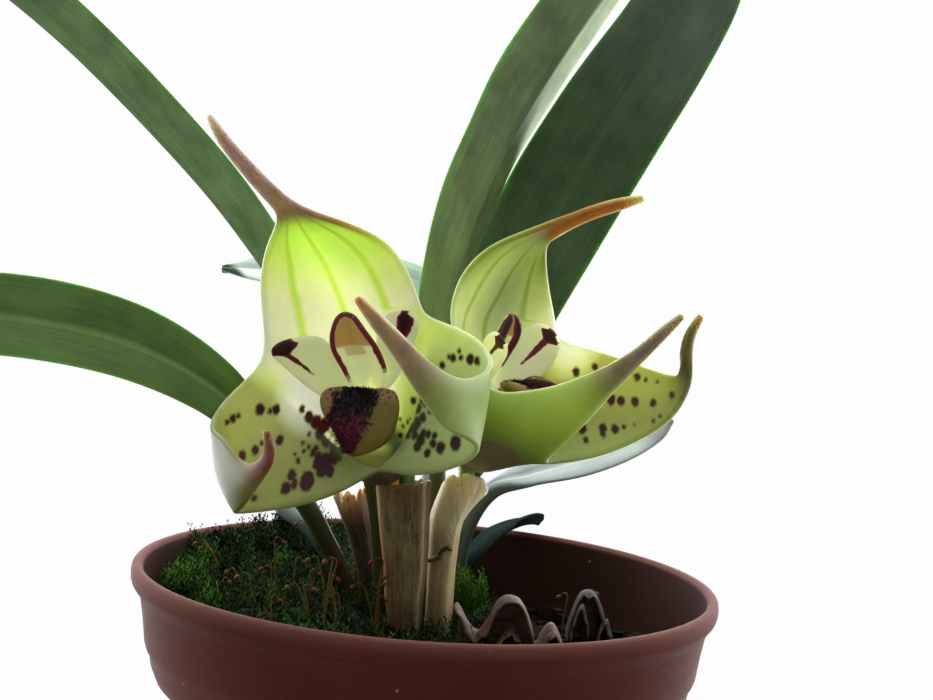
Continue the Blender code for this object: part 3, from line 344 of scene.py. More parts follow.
# Composted bark, crumbled: damp and nearly black, too rough to gleam.
bark, tree, shader, place = new_finish("damp_bark_crumbs", 0.85, {"Specular IOR Level": 0.06})
chip = put(tree, "Attribute", {"attribute_name": "chip"}, "Fac")
cloud = put(tree, "TexNoise", {"Vector": place, "Scale": 600.0, "Detail": 6.0, "Roughness": 0.7})
tone = put(tree, "Mix", {0: cloud, 6: linear("060504"), 7: linear("17110c")})
tone = put(tree, "Mix", {0: chip, 6: tone, 7: linear("3a2c22")})
tree.links.new(tone, shader.inputs["Base Color"])
bump = put(tree, "Bump", {"Strength": 0.9, "Distance": 0.0006, "Height": cloud})
tree.links.new(bump, shader.inputs["Normal"])

plug = [(FLOOR_TOP + GAP, FOOT_RADIUS - 1.7), (SHOULDER_LOW - 0.5, 41.4), (SHOULDER_LOW + 2.8, 42.3),
        (SHOULDER_LOW + 5.4, 44.4), (COLLAR_LOW - 2.6, 46.2), (MIX_TOP - 0.4, MIX_RADIUS)]
count = 96
points = []
for height, radius in plug:
    points += [(radius * math.cos(a), radius * math.sin(a), height)
               for a in np.linspace(0, 2 * math.pi, count, endpoint=False)]
for share in np.linspace(0.985, 0.03, CRUMB_ROWS):
    for a in np.linspace(0, 2 * math.pi, count, endpoint=False):
        x, y = MIX_RADIUS * share * math.cos(a), MIX_RADIUS * share * math.sin(a)
        crumbs = noise.noise(Vector((x, y, 0.0)) * 0.45) * 0.8 * eased((x - 16.0) / 6.0)
        points.append((x, y, mix_height(x, y) + crumbs))
faces = ring_faces(0, len(points) // count, count)
faces.append(tuple(range(count)))
faces.append(tuple(range(len(points) - count, len(points))))
piece("potting_mix_plug", points, faces, [bark], ["potting_mix"],
      marks={"chip": [0.0] * len(points)})

rng = random.Random(11)
points, faces, marks = [], [], []
for _ in range(CHIPS):
    a, far_out = rng.uniform(-1.9, 1.9), math.sqrt(rng.uniform(0.02, 1.0)) * (MIX_RADIUS - 2.4)
    x, y = far_out * math.cos(a), far_out * math.sin(a)
    if x < 13:
        continue
    size = rng.uniform(0.6, 1.3) + 1.6 * rng.uniform(0.0, 1.0) ** 3
    turn = Matrix.Rotation(rng.uniform(0, 6.3), 3, "Z") @ Matrix.Rotation(rng.uniform(-0.6, 0.6), 3, "X")
    base, shade = len(points), rng.uniform(0.0, 1.0) ** 3
    middle = Vector((x, y, mix_height(x, y) + 0.25 * size))
    for corner in ((-1, -0.6, -0.4), (1, -0.5, -0.3), (1.1, 0.5, -0.4), (-0.9, 0.6, -0.3),
                   (-0.8, -0.5, 0.3), (0.8, -0.4, 0.45), (0.9, 0.4, 0.3), (-0.9, 0.4, 0.4)):
        jitter = Vector([rng.uniform(-0.22, 0.22) for _ in range(3)])
        points.append(middle + turn @ ((Vector(corner) + jitter) * size))
        marks.append(shade)
    for face in ((0, 3, 2, 1), (4, 5, 6, 7), (0, 1, 5, 4), (1, 2, 6, 5), (2, 3, 7, 6), (3, 0, 4, 7)):
        faces.append(tuple(base + k for k in face))
chips = piece("bark_chips", points, faces, [bark], ["potting_mix"], marks={"chip": marks},
              turned=False)
chips.data.shade_flat()


# The moss: a living carpet over the left and middle of the mix, a low cushion thick with leafy
# shoots, and the thin stalks of its capsules standing out of it.
MOSS_RISE = 7.5
MOSS_BACK_RISE = 5.0
MOSS_EDGE = 2.4
MOSS_SPREAD = 72.0
MOSS_WIDE = 46.8
MOSS_END = 172.0
SHOOTS = 3900
LEAFLETS = 12


def moss_height(x, y):
    """The top of the moss cushion in millimetres."""
    swell = eased((4.0 - x) / 30.0)
    back = eased((y - 5.0) / 35.0) * eased((-2.0 - x) / 25.0)
    tufts = 0.9 * math.sin(0.55 * x + 0.8) * math.sin(0.6 * y) + 0.6 * math.sin(0.9 * x - 0.7 * y)
    edge = MOSS_EDGE * (1.0 - 0.6 * eased((x - 9.0) / 5.0))
    rise = edge + MOSS_RISE * swell + MOSS_BACK_RISE * back
    return MIX_TOP + GAP + rise + tufts * (0.25 + 0.75 * swell)


# Living moss: thin leaves that let some light through, nearly black low down and fresh yellow green at the
# ends of the lush ones. The black is partly the crowded moss's own dark and partly painted shade in the
# hollows, as the fresh mark rises up each shoot and on the tall tufts.
moss_green, tree, shader, place = new_finish("living_moss", 0.85, {
    "Specular IOR Level": 0.1, "Subsurface Weight": 0.3, "Subsurface Radius": (0.6, 1.0, 0.3),
    "Subsurface Scale": 0.0006})
fresh = put(tree, "Attribute", {"attribute_name": "fresh"}, "Fac")
cloud = put(tree, "TexNoise", {"Vector": place, "Scale": 180.0, "Detail": 3.0})
tone = put(tree, "Mix", {0: cloud, 6: linear("070c04"), 7: linear("1c2c0c")})
tone = put(tree, "Mix", {0: fresh, 6: tone, 7: linear("6fae3a")})
tree.links.new(tone, shader.inputs["Base Color"])

columns, across = 60, 44
points, faces = [], []
for level_up in (1, 0):
    for turn in np.radians(np.linspace(MOSS_SPREAD, MOSS_END, columns)):
        for share in np.linspace(-1, 1, across):
            x, y = MOSS_WIDE * math.cos(turn), MOSS_WIDE * math.sin(turn) * share
            shag = 0.5 * noise.noise(Vector((x, y, 3.0)) * 0.9)
            high = max(MIX_TOP + GAP + 0.5, moss_height(x, y) - 0.7 + shag)
            points.append((x, y, high if level_up else MIX_TOP + GAP))
base = columns * across
for r in range(columns - 1):
    for k in range(across - 1):
        near, far = r * across + k, (r + 1) * across + k
        faces.append((near, near + 1, far + 1, far))
        faces.append((base + near, base + far, base + far + 1, base + near + 1))
rim = list(range(across)) + [r * across + across - 1 for r in range(1, columns)]
rim += [(columns - 1) * across + k for k in range(across - 2, -1, -1)]
rim += [r * across for r in range(columns - 2, 0, -1)]
for near, far in zip(rim, rim[1:] + rim[:1]):
    faces.append((near, far, base + far, base + near))
piece("moss_cushion", points, faces, [moss_green], ["moss_carpet"],
      marks={"fresh": [0.0] * len(points)})

# The leafy shoots are crowded into tufts, tall and feathery where the moss is thriving, with dark
# hollows between. A few stand up in peaks at the back left.
PEAKS = [(-41.0, 19.0), (-38.0, 22.5), (-34.0, 27.5), (-30.0, 31.0), (-26.5, 33.5), (-36.5, 17.0)]
# Bright young tufts climb up beside the right sheath: x, y, height over the moss, spread.
YOUNG = [(6.6, 8.6, 9.2, 0.5), (7.6, 8.2, 7.6, 0.5), (10.4, 9.4, 9.0, 0.35), (8.4, 9.0, 5.0, 0.7)]
rng = random.Random(5)
points, faces, marks = [], [], []
for shoot in range(SHOOTS):
    young = YOUNG[shoot % len(YOUNG)] if shoot < 130 else None
    if young:
        x, y = young[0] + rng.gauss(0, young[3]), young[1] + rng.gauss(0, young[3])
        tuft, lush = young[2] / 2.6, 1.0
    elif shoot < 330:
        peak = PEAKS[shoot % len(PEAKS)]
        x, y = peak[0] + rng.gauss(0, 0.8), peak[1] + rng.gauss(0, 0.8)
        tuft, lush = 1.5, 0.0
    else:
        turn = math.radians(rng.uniform(MOSS_SPREAD, MOSS_END))
        x, y = MOSS_WIDE * math.cos(turn), MOSS_WIDE * math.sin(turn) * rng.uniform(-0.985, 0.985)
        swell = 0.5 + 0.9 * noise.noise(Vector((x, y, 7.0)) * 0.2)
        tuft = 0.3 + 1.5 * eased(swell)
        lush = eased(swell) * max(0.0, 0.65 + 1.3 * noise.noise(Vector((x, y, 31.0)) * 0.13))
    if math.hypot(x, y) > MOSS_WIDE - 0.4:
        continue
    low = moss_height(x, y) - 1.2
    lean = Vector((rng.uniform(-0.4, 0.4), rng.uniform(-0.4, 0.4), 1.0 if not young else 4.0)).normalized()
    tall = max(0.9, tuft * rng.uniform(1.8, 3.4))
    fresh = lush * rng.uniform(0.1, 1.0) ** 1.8 if not young else rng.uniform(0.6, 1.0)
    whorl = rng.uniform(0, 6.3)
    for leaflet in range(LEAFLETS):
        share = leaflet / (LEAFLETS - 1)
        share = 0.55 + 0.45 * share if young else share
        a = whorl + leaflet * 2.4
        out = Vector((math.cos(a), math.sin(a), 0.45 + 0.9 * share)).normalized()
        side = out.cross(lean).normalized()
        root = Vector((x, y, low)) + lean * tall * share
        long = (1.3 - 0.7 * share) * (1 + 0.55 * lush)
        base = len(points)
        points += [root, root + out * long * 0.5 + side * 0.17, root + out * long,
                   root + out * long * 0.5 - side * 0.17]
        faces.append((base, base + 1, base + 2))
        faces.append((base, base + 2, base + 3))
        # Partly painted shade: the fresh mark grows up each shoot, so the low leaflets in the hollows stay
        # dark.
        marks += [fresh * 0.3, fresh * (0.3 + 0.5 * share), fresh * (0.4 + 0.6 * share),
                  fresh * (0.3 + 0.5 * share)]
piece("moss_shoots", points, faces, [moss_green], ["moss_carpet"], marks={"fresh": marks},
      turned=False)


def thread(points, faces, path, radii, sides=5):
    """Adds a thin round stalk along a path to a mesh in the making, closed at both ends."""
    path = np.asarray(path, float)
    tangent = np.gradient(path, axis=0)
    tangent /= np.linalg.norm(tangent, axis=1)[:, None]
    base = len(points)
    for centre, ahead, radius in zip(path, tangent, radii):
        side = np.cross(ahead, (0.31, 0.95, 0.05))
        side /= np.linalg.norm(side)
        over = np.cross(ahead, side)
        for a in np.linspace(0, 2 * math.pi, sides, endpoint=False):
            points.append(centre + radius * (math.cos(a) * side + math.sin(a) * over))
    faces += ring_faces(base, len(path), sides)
    faces.append(tuple(base + k for k in reversed(range(sides))))
    faces.append(tuple(base + (len(path) - 1) * sides + k for k in range(sides)))


# Each capsule stalk is a wiry ochre hair, bent over at its top into a nodding capsule, ochre when
# young and red brown when ripe. A row says where the picture shows its bend and its foot, in
# pixels, and how ripe it is. The bare ones grow from the mix at the right: x, y and height of the
# foot, x and height of the bend, all in millimetres, and ripeness.
CAPSULES = [
    (275, 537, 274, 600, 0.85), (271.5, 565.5, 270, 600, 0.8), (271.5, 595, 273, 628, 1.0),
    (223, 577, 226, 606, 0.1), (249, 573, 249, 603, 0.2), (296, 557, 291, 592, 0.4),
    (333, 557, 324, 628, 0.05), (337, 558.5, 323, 627.5, 0.6), (310.5, 569, 310, 600, 0.9),
    (330.5, 574, 333, 632, 0.9), (297.5, 583, 305, 622, 0.1), (303.5, 584, 309, 622, 0.3),
    (339, 592.5, 338, 622, 1.0), (383.5, 558.5, 375, 631, 0.95), (363.5, 583, 372, 628, 0.8),
    (379, 595, 378, 628, 0.95), (395.5, 581, 397, 634, 1.0), (396.5, 574, 402, 635, 0.5),
    (359, 569, 360, 600, 0.5), (304.5, 520.5, 300, 547, 0.6), (208.5, 544.5, 217, 575, 0.4),
    (206.5, 540, 216, 573, 0.5), (235.5, 568, 240, 596, 0.0), (318, 556, 322, 610, 0.1),
]
BARE_CAPSULES = [(26.0, 5.0, 78.5, 26.3, 88.6, 0.2), (31.8, 12.8, 78.5, 30.8, 88.0, 0.0)]
SIGHT_STEP = 0.2


def view_line(across, down):
    """The direction in which the camera sees a point of the picture, given in pixels."""
    aim = Vector((across - PICTURE_WIDTH / 2, PICTURE_HEIGHT / 2 - down, -FOCAL_PIXELS))
    return (VIEW @ aim).normalized()


def rooted(bend_across, bend_down, foot_across, foot_down, ripeness):
    """A capsule's row in millimetres: its foot is the first place on the moss that the camera sees
    there, and its bend is as far away as its foot."""
    way, foot = view_line(foot_across, foot_down), Vector(EYE)
    while foot.xy.length > MIX_RADIUS or foot.z > moss_height(foot.x, foot.y):
        foot += way * SIGHT_STEP
    way = view_line(bend_across, bend_down)
    bend = Vector(EYE) + way * ((foot.y - EYE[1]) / way.y)
    return (*foot, bend.x, bend.z, ripeness)


capsule, tree, shader, place = new_finish("moss_capsule_stalk", 0.6, {"Specular IOR Level": 0.15})
ripe = put(tree, "Attribute", {"attribute_name": "ripe"}, "Fac")
tone = put(tree, "Mix", {0: ripe, 6: linear("6a5a1c"), 7: linear("7a2c10")})
tree.links.new(tone, shader.inputs["Base Color"])
rng = random.Random(29)
points, faces, marks = [], [], []
for x, y, low, bend_x, high, ripeness in [rooted(*row) for row in CAPSULES] + BARE_CAPSULES:
    bend, sway = rng.uniform(0.9, 1.7) * rng.choice((-1, 1)), rng.uniform(-0.4, 0.4)
    path = [(x, y, low - 0.8), (x + 0.2 * (bend_x - x) + sway, y, low + 0.35 * (high - low)),
            (x + 0.7 * (bend_x - x) + 0.4 * sway, y, low + 0.75 * (high - low)), (bend_x, y, high - 0.5),
            (bend_x + 0.5 * bend, y, high), (bend_x + bend, y, high - 0.5)]
    path = smooth_path(path, 16)
    before = len(points)
    thread(points, faces, path, np.linspace(0.14, 0.1, 16), sides=5)
    thread(points, faces, path[-1] + np.outer(np.linspace(0, 1, 6), (0.55 * bend, 0.0, -0.7)),
           [0.12, 0.3, 0.38, 0.36, 0.26, 0.08], sides=8)
    marks += [0.35 * ripeness + 0.1] * 80 + [ripeness] * (len(points) - before - 80)
piece("moss_capsules", points, faces, [capsule], ["moss_carpet"], marks={"ripe": marks}, turned=False)


# The leaves: fleshy straps that grew in one piece, each from a thin round stalk, channelled along
# the midrib above and keeled below it, with a smooth waxy skin.
STALK_RADIUS = 1.7
BLADE = 1.3
LEAF_STEPS = 110
LEAF_SIDES = 36
LEAVES = {
    "leaf_high_left": (
        [(-7.3, 6, 70.6, 1.6), (-7.9, 6, 88, 1.6), (-11.1, 6, 106, 1.7), (-16.2, 7.2, 119, 2.4),
         (-24.5, 9, 133, 4.8), (-36.3, 11, 148.8, 6.8), (-51.2, 13.8, 164.6, 7.6),
         (-77.7, 19.5, 187.4, 8), (-103, 23, 204, 7.2), (-121, 26, 211.5, 5),
         (-134, 28, 214.5, 1)],
        (0.52, 0.58, 0.4), (0.56, 0.5, 0.62), 0.28),
    "leaf_low_left": (
        [(-13.9, 9, 70.6, 1.6), (-15.2, 9, 86, 1.6), (-19.4, 7.5, 95, 1.7), (-25, 5.5, 104, 2.2),
         (-32, 4, 113, 3.6), (-42, 2, 122.2, 6.1), (-58, 0, 129.2, 8.1), (-78, -4, 132.1, 8.7),
         (-98, -8, 130.3, 8), (-113, -11, 125.6, 5.3), (-122, -13, 121.3, 1)],
        (0.4, -0.7, 0.5), (0.1, -0.79, 0.6), 0.22),
    "leaf_centre": (
        [(0.9, 14, 70.6, 1.6), (0.9, 14.2, 88, 1.6), (0.6, 15.5, 106, 1.7),
         (-0.9, 16.5, 121, 2.8), (-0.9, 17, 136, 4.9), (1.3, 17.8, 148.5, 6.5),
         (4.3, 19, 159, 7.9), (8.2, 21, 170, 8.4), (15.4, 25, 185, 9.8), (29, 31, 208, 9),
         (41, 35.5, 225, 6.2), (48.5, 38.5, 234, 1)],
        (-0.5, 0.7, 0.2), (-0.66, 0.62, 0.42), 0.36),
    "leaf_broad_right": (
        [(2.9, 4.2, 70.6, 1.2), (2.7, 4.3, 87, 1.2), (2.5, 4.6, 95, 1.2), (2.8, 4.8, 101, 1.2),
         (4.5, 6.1, 105, 1.2), (8.2, 9.8, 110, 1.3), (10.6, 13.4, 114, 1.8), (10.6, 17, 119.5, 3.6),
         (10.2, 20.6, 127, 6.6), (11.8, 24.6, 139, 9.6), (19.5, 27.8, 158, 11.4), (29.2, 27, 177, 11.4),
         (38, 26.8, 192.5, 10.6), (45.8, 27.4, 207, 8.6), (53.5, 28.6, 219, 1)],
        (0.2, -0.9, 0.3), (-0.25, -0.9, 0.3), 0.16),
    "leaf_behind": (
        [(-2.6, 20, 70.6, 1.5), (-2.4, 20.6, 88, 1.5), (-0.8, 24, 106, 1.6), (2.4, 31, 122, 2.4),
         (1.4, 37, 133.5, 4.4), (-7.4, 41.5, 141.6, 6.2), (-20, 44.5, 143.7, 7), (-32, 46, 143.8, 6.4),
         (-41.5, 46.5, 143.4, 4.2), (-47.6, 46.5, 143.2, 0.8)],
        (-0.4, -0.7, 0.4), (0.0, -0.52, 0.85), 0.16),
    "leaf_low_right": (
        [(5.6, 12, 70.6, 1.5), (5.6, 12.2, 88, 1.5), (6.8, 12.6, 98, 1.7), (11, 13, 105.4, 3),
         (18, 14, 108.6, 5.8), (26, 15.5, 111.3, 7.8), (34, 17, 114.8, 8),
         (40.5, 18.6, 118.2, 5.8), (45, 19.8, 120.8, 1.4)],
        (-0.9, -0.2, 0.3), (-0.35, -0.42, 0.85), 0.12),
    "leaf_short_right": (
        [(4.4, 18.5, 70.6, 1.6), (4.6, 18.6, 82, 1.9), (6.6, 20.8, 88, 3.1), (10.5, 28, 91.8, 4.2),
         (14.6, 36, 94, 4.6), (18.6, 43.5, 94.8, 4), (21.4, 48.4, 94.6, 3.0), (23, 51.2, 94, 1.6)],
        (-0.2, 0.5, 0.6), (-0.5, -0.4, 0.8), 0.2),
    "leaf_short_left": (
        [(-17.3, 14.2, 70.6, 1.4), (-17.8, 14.4, 86, 1.4), (-21.5, 19, 93.2, 2.2),
         (-27, 25.5, 96, 3), (-31.5, 31, 97.6, 2.6), (-35.5, 35.5, 98.4, 0.8)],
        (0.3, -0.5, 0.6), (0.3, -0.5, 0.8), 0.2),
}
# The finish of each leaf: its upper face, its underside, its midrib and margin, its tip, the share
# of its length from which the tip colour spreads, how rough the wax is and how much it gleams.
# Where they're given, two more: how much painted shade darkens the half beyond the midrib, and how much
# further back the tip colour reaches on the near half.
LEAF_FINISHES = {
    "leaf_high_left": ("466434", "8aa872", "7f9f60", "7f9468", 0.9, 0.6, 0.0, 0.4),
    "leaf_low_left": ("5b7d36", "5c7c42", "96bc66", "50702f", 0.9, 0.45, 0.25),
    "leaf_centre": ("486838", "93a876", "8aa86a", "5f774a", 0.9, 0.5, 0.1),
    "leaf_broad_right": ("506a40", "52694a", "668454", "6c7f64", 0.7, 0.45, 0.3),
    # Painted reflection: the near-white upper face and margin of leaf_behind, and the pale grey-green ones of
    # leaf_low_right, stand in for the bright window mirrored in their gloss.
    "leaf_behind": ("e6f2ec", "55705a", "b4c8b8", "34502c", 0.97, 0.6, 0.1, 1.0, 0.022),
    "leaf_low_right": ("7e948a", "4c6850", "94a89e", "26382a", 0.86, 0.34, 0.4),
    "leaf_short_right": ("2e3c3a", "28342e", "42524e", "2c3833", 0.95, 0.8, 0.0),
    "leaf_short_left": ("5f7268", "4c6050", "74877c", "4f6156", 0.9, 0.5, 0.1),
}


def waxy_skin(name, upper, under, vein, tip, tip_from, gloss, gleam, far_half_shade=1.0, lean=0.0):
    """The waxy skin of a leaf: its two faces, the fine parallel veins, the midrib and thin margins,
    which let more light through, and darker clouds where the wax is patchy."""
    made, tree, shader, place = new_finish(name, gloss, {
        "IOR": 1.45, "Specular IOR Level": gleam, "Subsurface Weight": 0.35,
        "Subsurface Radius": (0.6, 1.0, 0.35), "Subsurface Scale": 0.0012,
        "Coat Weight": 0.4 * gleam, "Coat Roughness": 0.2})
    side, over, run, share = (put(tree, "Attribute", {"attribute_name": mark}, "Fac")
                              for mark in ("side", "over", "run", "share"))
    grid = put(tree, "CombineXYZ", {"X": side, "Y": run, "Z": over})
    # The veins run the leaf's length about 0.6 mm apart, nine or ten to each half.
    lines = put(tree, "Mapping", {"Vector": grid, "Scale": (9.0, 0.03, 1.0)})
    lines = put(tree, "TexNoise", {"Vector": lines, "Scale": 2.2, "Detail": 4.0, "Roughness": 0.7})
    patches = put(tree, "Mapping", {"Vector": grid, "Scale": (0.8, 0.06, 1.0)})
    patches = put(tree, "TexNoise", {"Vector": patches, "Scale": 1.6, "Detail": 4.0, "Roughness": 0.6})
    face = put(tree, "Mix", {0: over, 6: linear(under), 7: linear(upper)})
    # The tip colour can reach further back on the near side of the midrib.
    aslant = put(tree, "Math", {"operation": "MULTIPLY_ADD", 0: side, 1: -lean, 2: share})
    ending = put(tree, "MapRange", {"Value": aslant, "From Min": tip_from, "From Max": 0.5 + 0.5 * tip_from})
    face = put(tree, "Mix", {0: ending, 6: face, 7: linear(tip)})
    for pattern, least, most in ((lines, 0.8, 1.16), (patches, 0.72, 1.25)):
        part = put(tree, "MapRange", {"Value": pattern, "From Min": 0.3, "From Max": 0.7, "To Min": least,
                                      "To Max": most})
        face = put(tree, "Mix", {"blend_type": "MULTIPLY", 0: 1.0, 6: face, 7: part})
    middle = put(tree, "Math", {"operation": "ABSOLUTE", 0: side})
    for low, high, start, end in ((0.02, 0.12, 0.4, 0.0), (0.93, 1.0, 0.0, 0.55)):
        rib = put(tree, "MapRange", {"Value": middle, "From Min": low, "From Max": high, "To Min": start,
                                     "To Max": end})
        face = put(tree, "Mix", {0: rib, 6: face, 7: linear(vein)})
    # Painted shade: the half beyond the midrib can be painted darker.
    far_half_painted_shade = put(tree, "MapRange", {"Value": side, "From Min": -0.03, "From Max": 0.06, "To Min": 1.0,
                                    "To Max": far_half_shade})
    face = put(tree, "Mix", {"blend_type": "MULTIPLY", 0: 1.0, 6: face, 7: far_half_painted_shade})
    # The stalks darken toward their feet, below 116 mm.
    up = put(tree, "SeparateXYZ", {0: place}, "Z")
    foot = put(tree, "MapRange", {"Value": up, "From Min": 0.088, "From Max": 0.116, "To Min": 0.35})
    face = put(tree, "Mix", {"blend_type": "MULTIPLY", 0: 1.0, 6: face, 7: foot})
    stem = put(tree, "MapRange", {"Value": share, "From Min": 0.18, "From Max": 0.32, "To Min": 0.85,
                                  "To Max": 0.0})
    face = put(tree, "Mix", {0: stem, 6: face, 7: linear("4a4028")})
    tree.links.new(face, shader.inputs["Base Color"])
    bump = put(tree, "Bump", {"Strength": 0.25, "Distance": 0.0001, "Height": lines})
    tree.links.new(bump, shader.inputs["Normal"])
    return made


def leaf(name, rows, face_low, face_high, fold, finish):
    """One grown leaf through rows of (x, y, z, half width)."""
    path = smooth_path(rows, LEAF_STEPS)
    centre, half = path[:, :3], path[:, 3]
    tangent = np.gradient(centre, axis=0)
    tangent /= np.linalg.norm(tangent, axis=1)[:, None]
    share = np.linspace(0, 1, len(centre))[:, None]
    face = np.asarray(face_low, float) * (1 - share) + np.asarray(face_high, float) * share
    face -= tangent * np.sum(face * tangent, axis=1)[:, None]
    face /= np.linalg.norm(face, axis=1)[:, None]
    aside = np.cross(tangent, face)
    length = np.concatenate([[0], np.cumsum(np.linalg.norm(np.diff(centre, axis=0), axis=1))])
    widest = int(np.argmax(half))
    turns = np.linspace(0, 2 * math.pi, LEAF_SIDES, endpoint=False)
    points, marks = [], {"side": [], "over": [], "run": [], "share": []}
    for i in range(LEAF_STEPS):
        flat = 1.0 if i >= widest else min(1.0, max(0.0, (half[i] - STALK_RADIUS) / 4.0))
        thick = STALK_RADIUS * (1 - flat) + 0.5 * BLADE * flat
        thick = min(thick, half[i] + 0.2)
        for a in turns:
            across = half[i] * math.cos(a)
            spread = math.sqrt(across * across + 0.16) - 0.4
            groove = flat * math.exp(-((across / 0.55) ** 2))
            rise = thick * math.sin(a) + fold * flat * spread
            rise -= groove * (0.3 if math.sin(a) > 0 else 0.45)
            points.append(centre[i] + across * aside[i] + rise * face[i])
            marks["side"].append(math.cos(a))
            marks["over"].append(1.0 if math.sin(a) > 0 else 0.0)
            marks["run"].append(length[i])
            marks["share"].append(length[i] / length[-1])
    faces = ring_faces(0, LEAF_STEPS, LEAF_SIDES)
    last = (LEAF_STEPS - 1) * LEAF_SIDES
    faces.append(tuple(range(LEAF_SIDES)))
    faces.append(tuple(range(last, last + LEAF_SIDES)))
    return piece(name + "_blade", points, faces, [finish], [name], marks=marks)


for name, (rows, face_low, face_high, fold) in LEAVES.items():
    leaf(name, rows, face_low, face_high, fold, waxy_skin(name + "_skin", *LEAF_FINISHES[name]))


# The dry sheaths: papery tubes that once wrapped the young stems, veined lengthwise, torn at the
# top and standing loose round the stems.
SHEATH_WALL = 0.55
SHEATHS = {
    "sheath_front": (
        [(-3.2, -2.2, 71.5, 2.8, 2.7), (-3.2, -2.4, 80, 2.8, 2.8), (-3.9, -2.6, 87, 3.4, 3.1),
         (-4.0, -2.8, 92, 3.8, 3.3), (-4.7, -2.9, 99, 4.4, 3.6), (-5.5, -2.8, 108.4, 4.8, 4.1)],
        7, 0.035, 0.4, 0.0),
    "sheath_right": (
        [(2.9, 2.5, 71.5, 2.5, 4.9), (2.7, 2.5, 80, 2.5, 5.0), (2.6, 2.6, 87, 2.5, 5.1),
         (2.6, 2.8, 94, 2.6, 5.2), (2.7, 3.0, 99.5, 2.9, 5.4), (3.3, 3.2, 102.2, 3.4, 5.5),
         (5.7, 3.4, 107, 4.3, 5.8)],
        5, 0.03, 0.4, 3.4),
    "sheath_old": (
        [(-10.4, 12.6, 71.5, 1.8, 1.8), (-11, 12.4, 86, 1.9, 1.9), (-12.8, 11.6, 94, 2.2, 2),
         (-14.4, 11, 99, 2.8, 2.2), (-15.8, 10.6, 103.5, 3.2, 2.2)],
        5, 0.04, 1.4, 0.0),
}


def papery(name, light, dark, vein, band, band_tone, slope):
    """Dry papery tissue: brown veins and streaks along it that fan out where it flares, a band of
    another tone from a height given in millimetres upward, and damp darker feet."""
    made, tree, shader, place = new_finish(name, 0.65, {
        "Specular IOR Level": 0.2, "Subsurface Weight": 0.8, "Subsurface Radius": (1.0, 0.8, 0.5),
        "Subsurface Scale": 0.0025})
    side, run, rusty, bright = (put(tree, "Attribute", {"attribute_name": mark}, "Fac")
                                for mark in ("side", "run", "rusty", "bright"))
    lean = put(tree, "MapRange", {"Value": run, "From Min": band - 3.0, "From Max": band + 9.0,
                                  "To Max": slope})
    across = put(tree, "Math", {"operation": "ADD", 0: side, 1: lean})
    grid = put(tree, "CombineXYZ", {"X": across, "Y": run})
    # Streaks about 0.8 mm wide and 15 mm long, and veins a third of a millimetre wide.
    streak = put(tree, "Mapping", {"Vector": grid, "Scale": (14.0, 0.07, 1.0)})
    streak = put(tree, "TexNoise", {"Vector": streak, "Scale": 1.3, "Detail": 4.0, "Roughness": 0.65})
    vein_at = put(tree, "Mapping", {"Vector": grid, "Scale": (11.0, 0.1, 1.0)})
    vein_at = put(tree, "TexNoise", {"Vector": vein_at, "Scale": 1.0, "Detail": 2.0, "Distortion": 0.5})
    vein_at = put(tree, "Math", {"operation": "PINGPONG", 0: vein_at, 1: 0.09})
    cloud = put(tree, "TexNoise", {"Vector": place, "Scale": 200.0, "Detail": 5.0, "Roughness": 0.65})
    mixed = put(tree, "Math", {"operation": "MULTIPLY_ADD", 0: cloud, 1: 0.45, 2: streak})
    mixed = put(tree, "MapRange", {"Value": mixed, "From Min": 0.55, "From Max": 0.9})
    tone = put(tree, "Mix", {0: mixed, 6: linear(dark), 7: linear(light)})
    upper = put(tree, "MapRange", {"Value": run, "From Min": band - 1.5, "From Max": band + 2.5,
                                   "To Max": 0.85})
    veins = put(tree, "MapRange", {"Value": vein_at, "From Min": 0.0, "From Max": 0.014, "To Min": 0.75,
                                   "To Max": 0.0})
    foot = put(tree, "MapRange", {"Value": run, "From Min": 80.0, "From Max": 90.0, "To Min": 0.75,
                                  "To Max": 0.0})
    for part, colour in ((upper, band_tone), (rusty, "a8703f"), (bright, "c9c2a6"), (veins, vein),
                         (foot, "453c28")):
        tone = put(tree, "Mix", {0: part, 6: tone, 7: linear(colour)})
    tree.links.new(tone, shader.inputs["Base Color"])
    bump = put(tree, "Bump", {"Strength": 0.6, "Distance": 0.0003, "Height": streak})
    tree.links.new(bump, shader.inputs["Normal"])
    return made


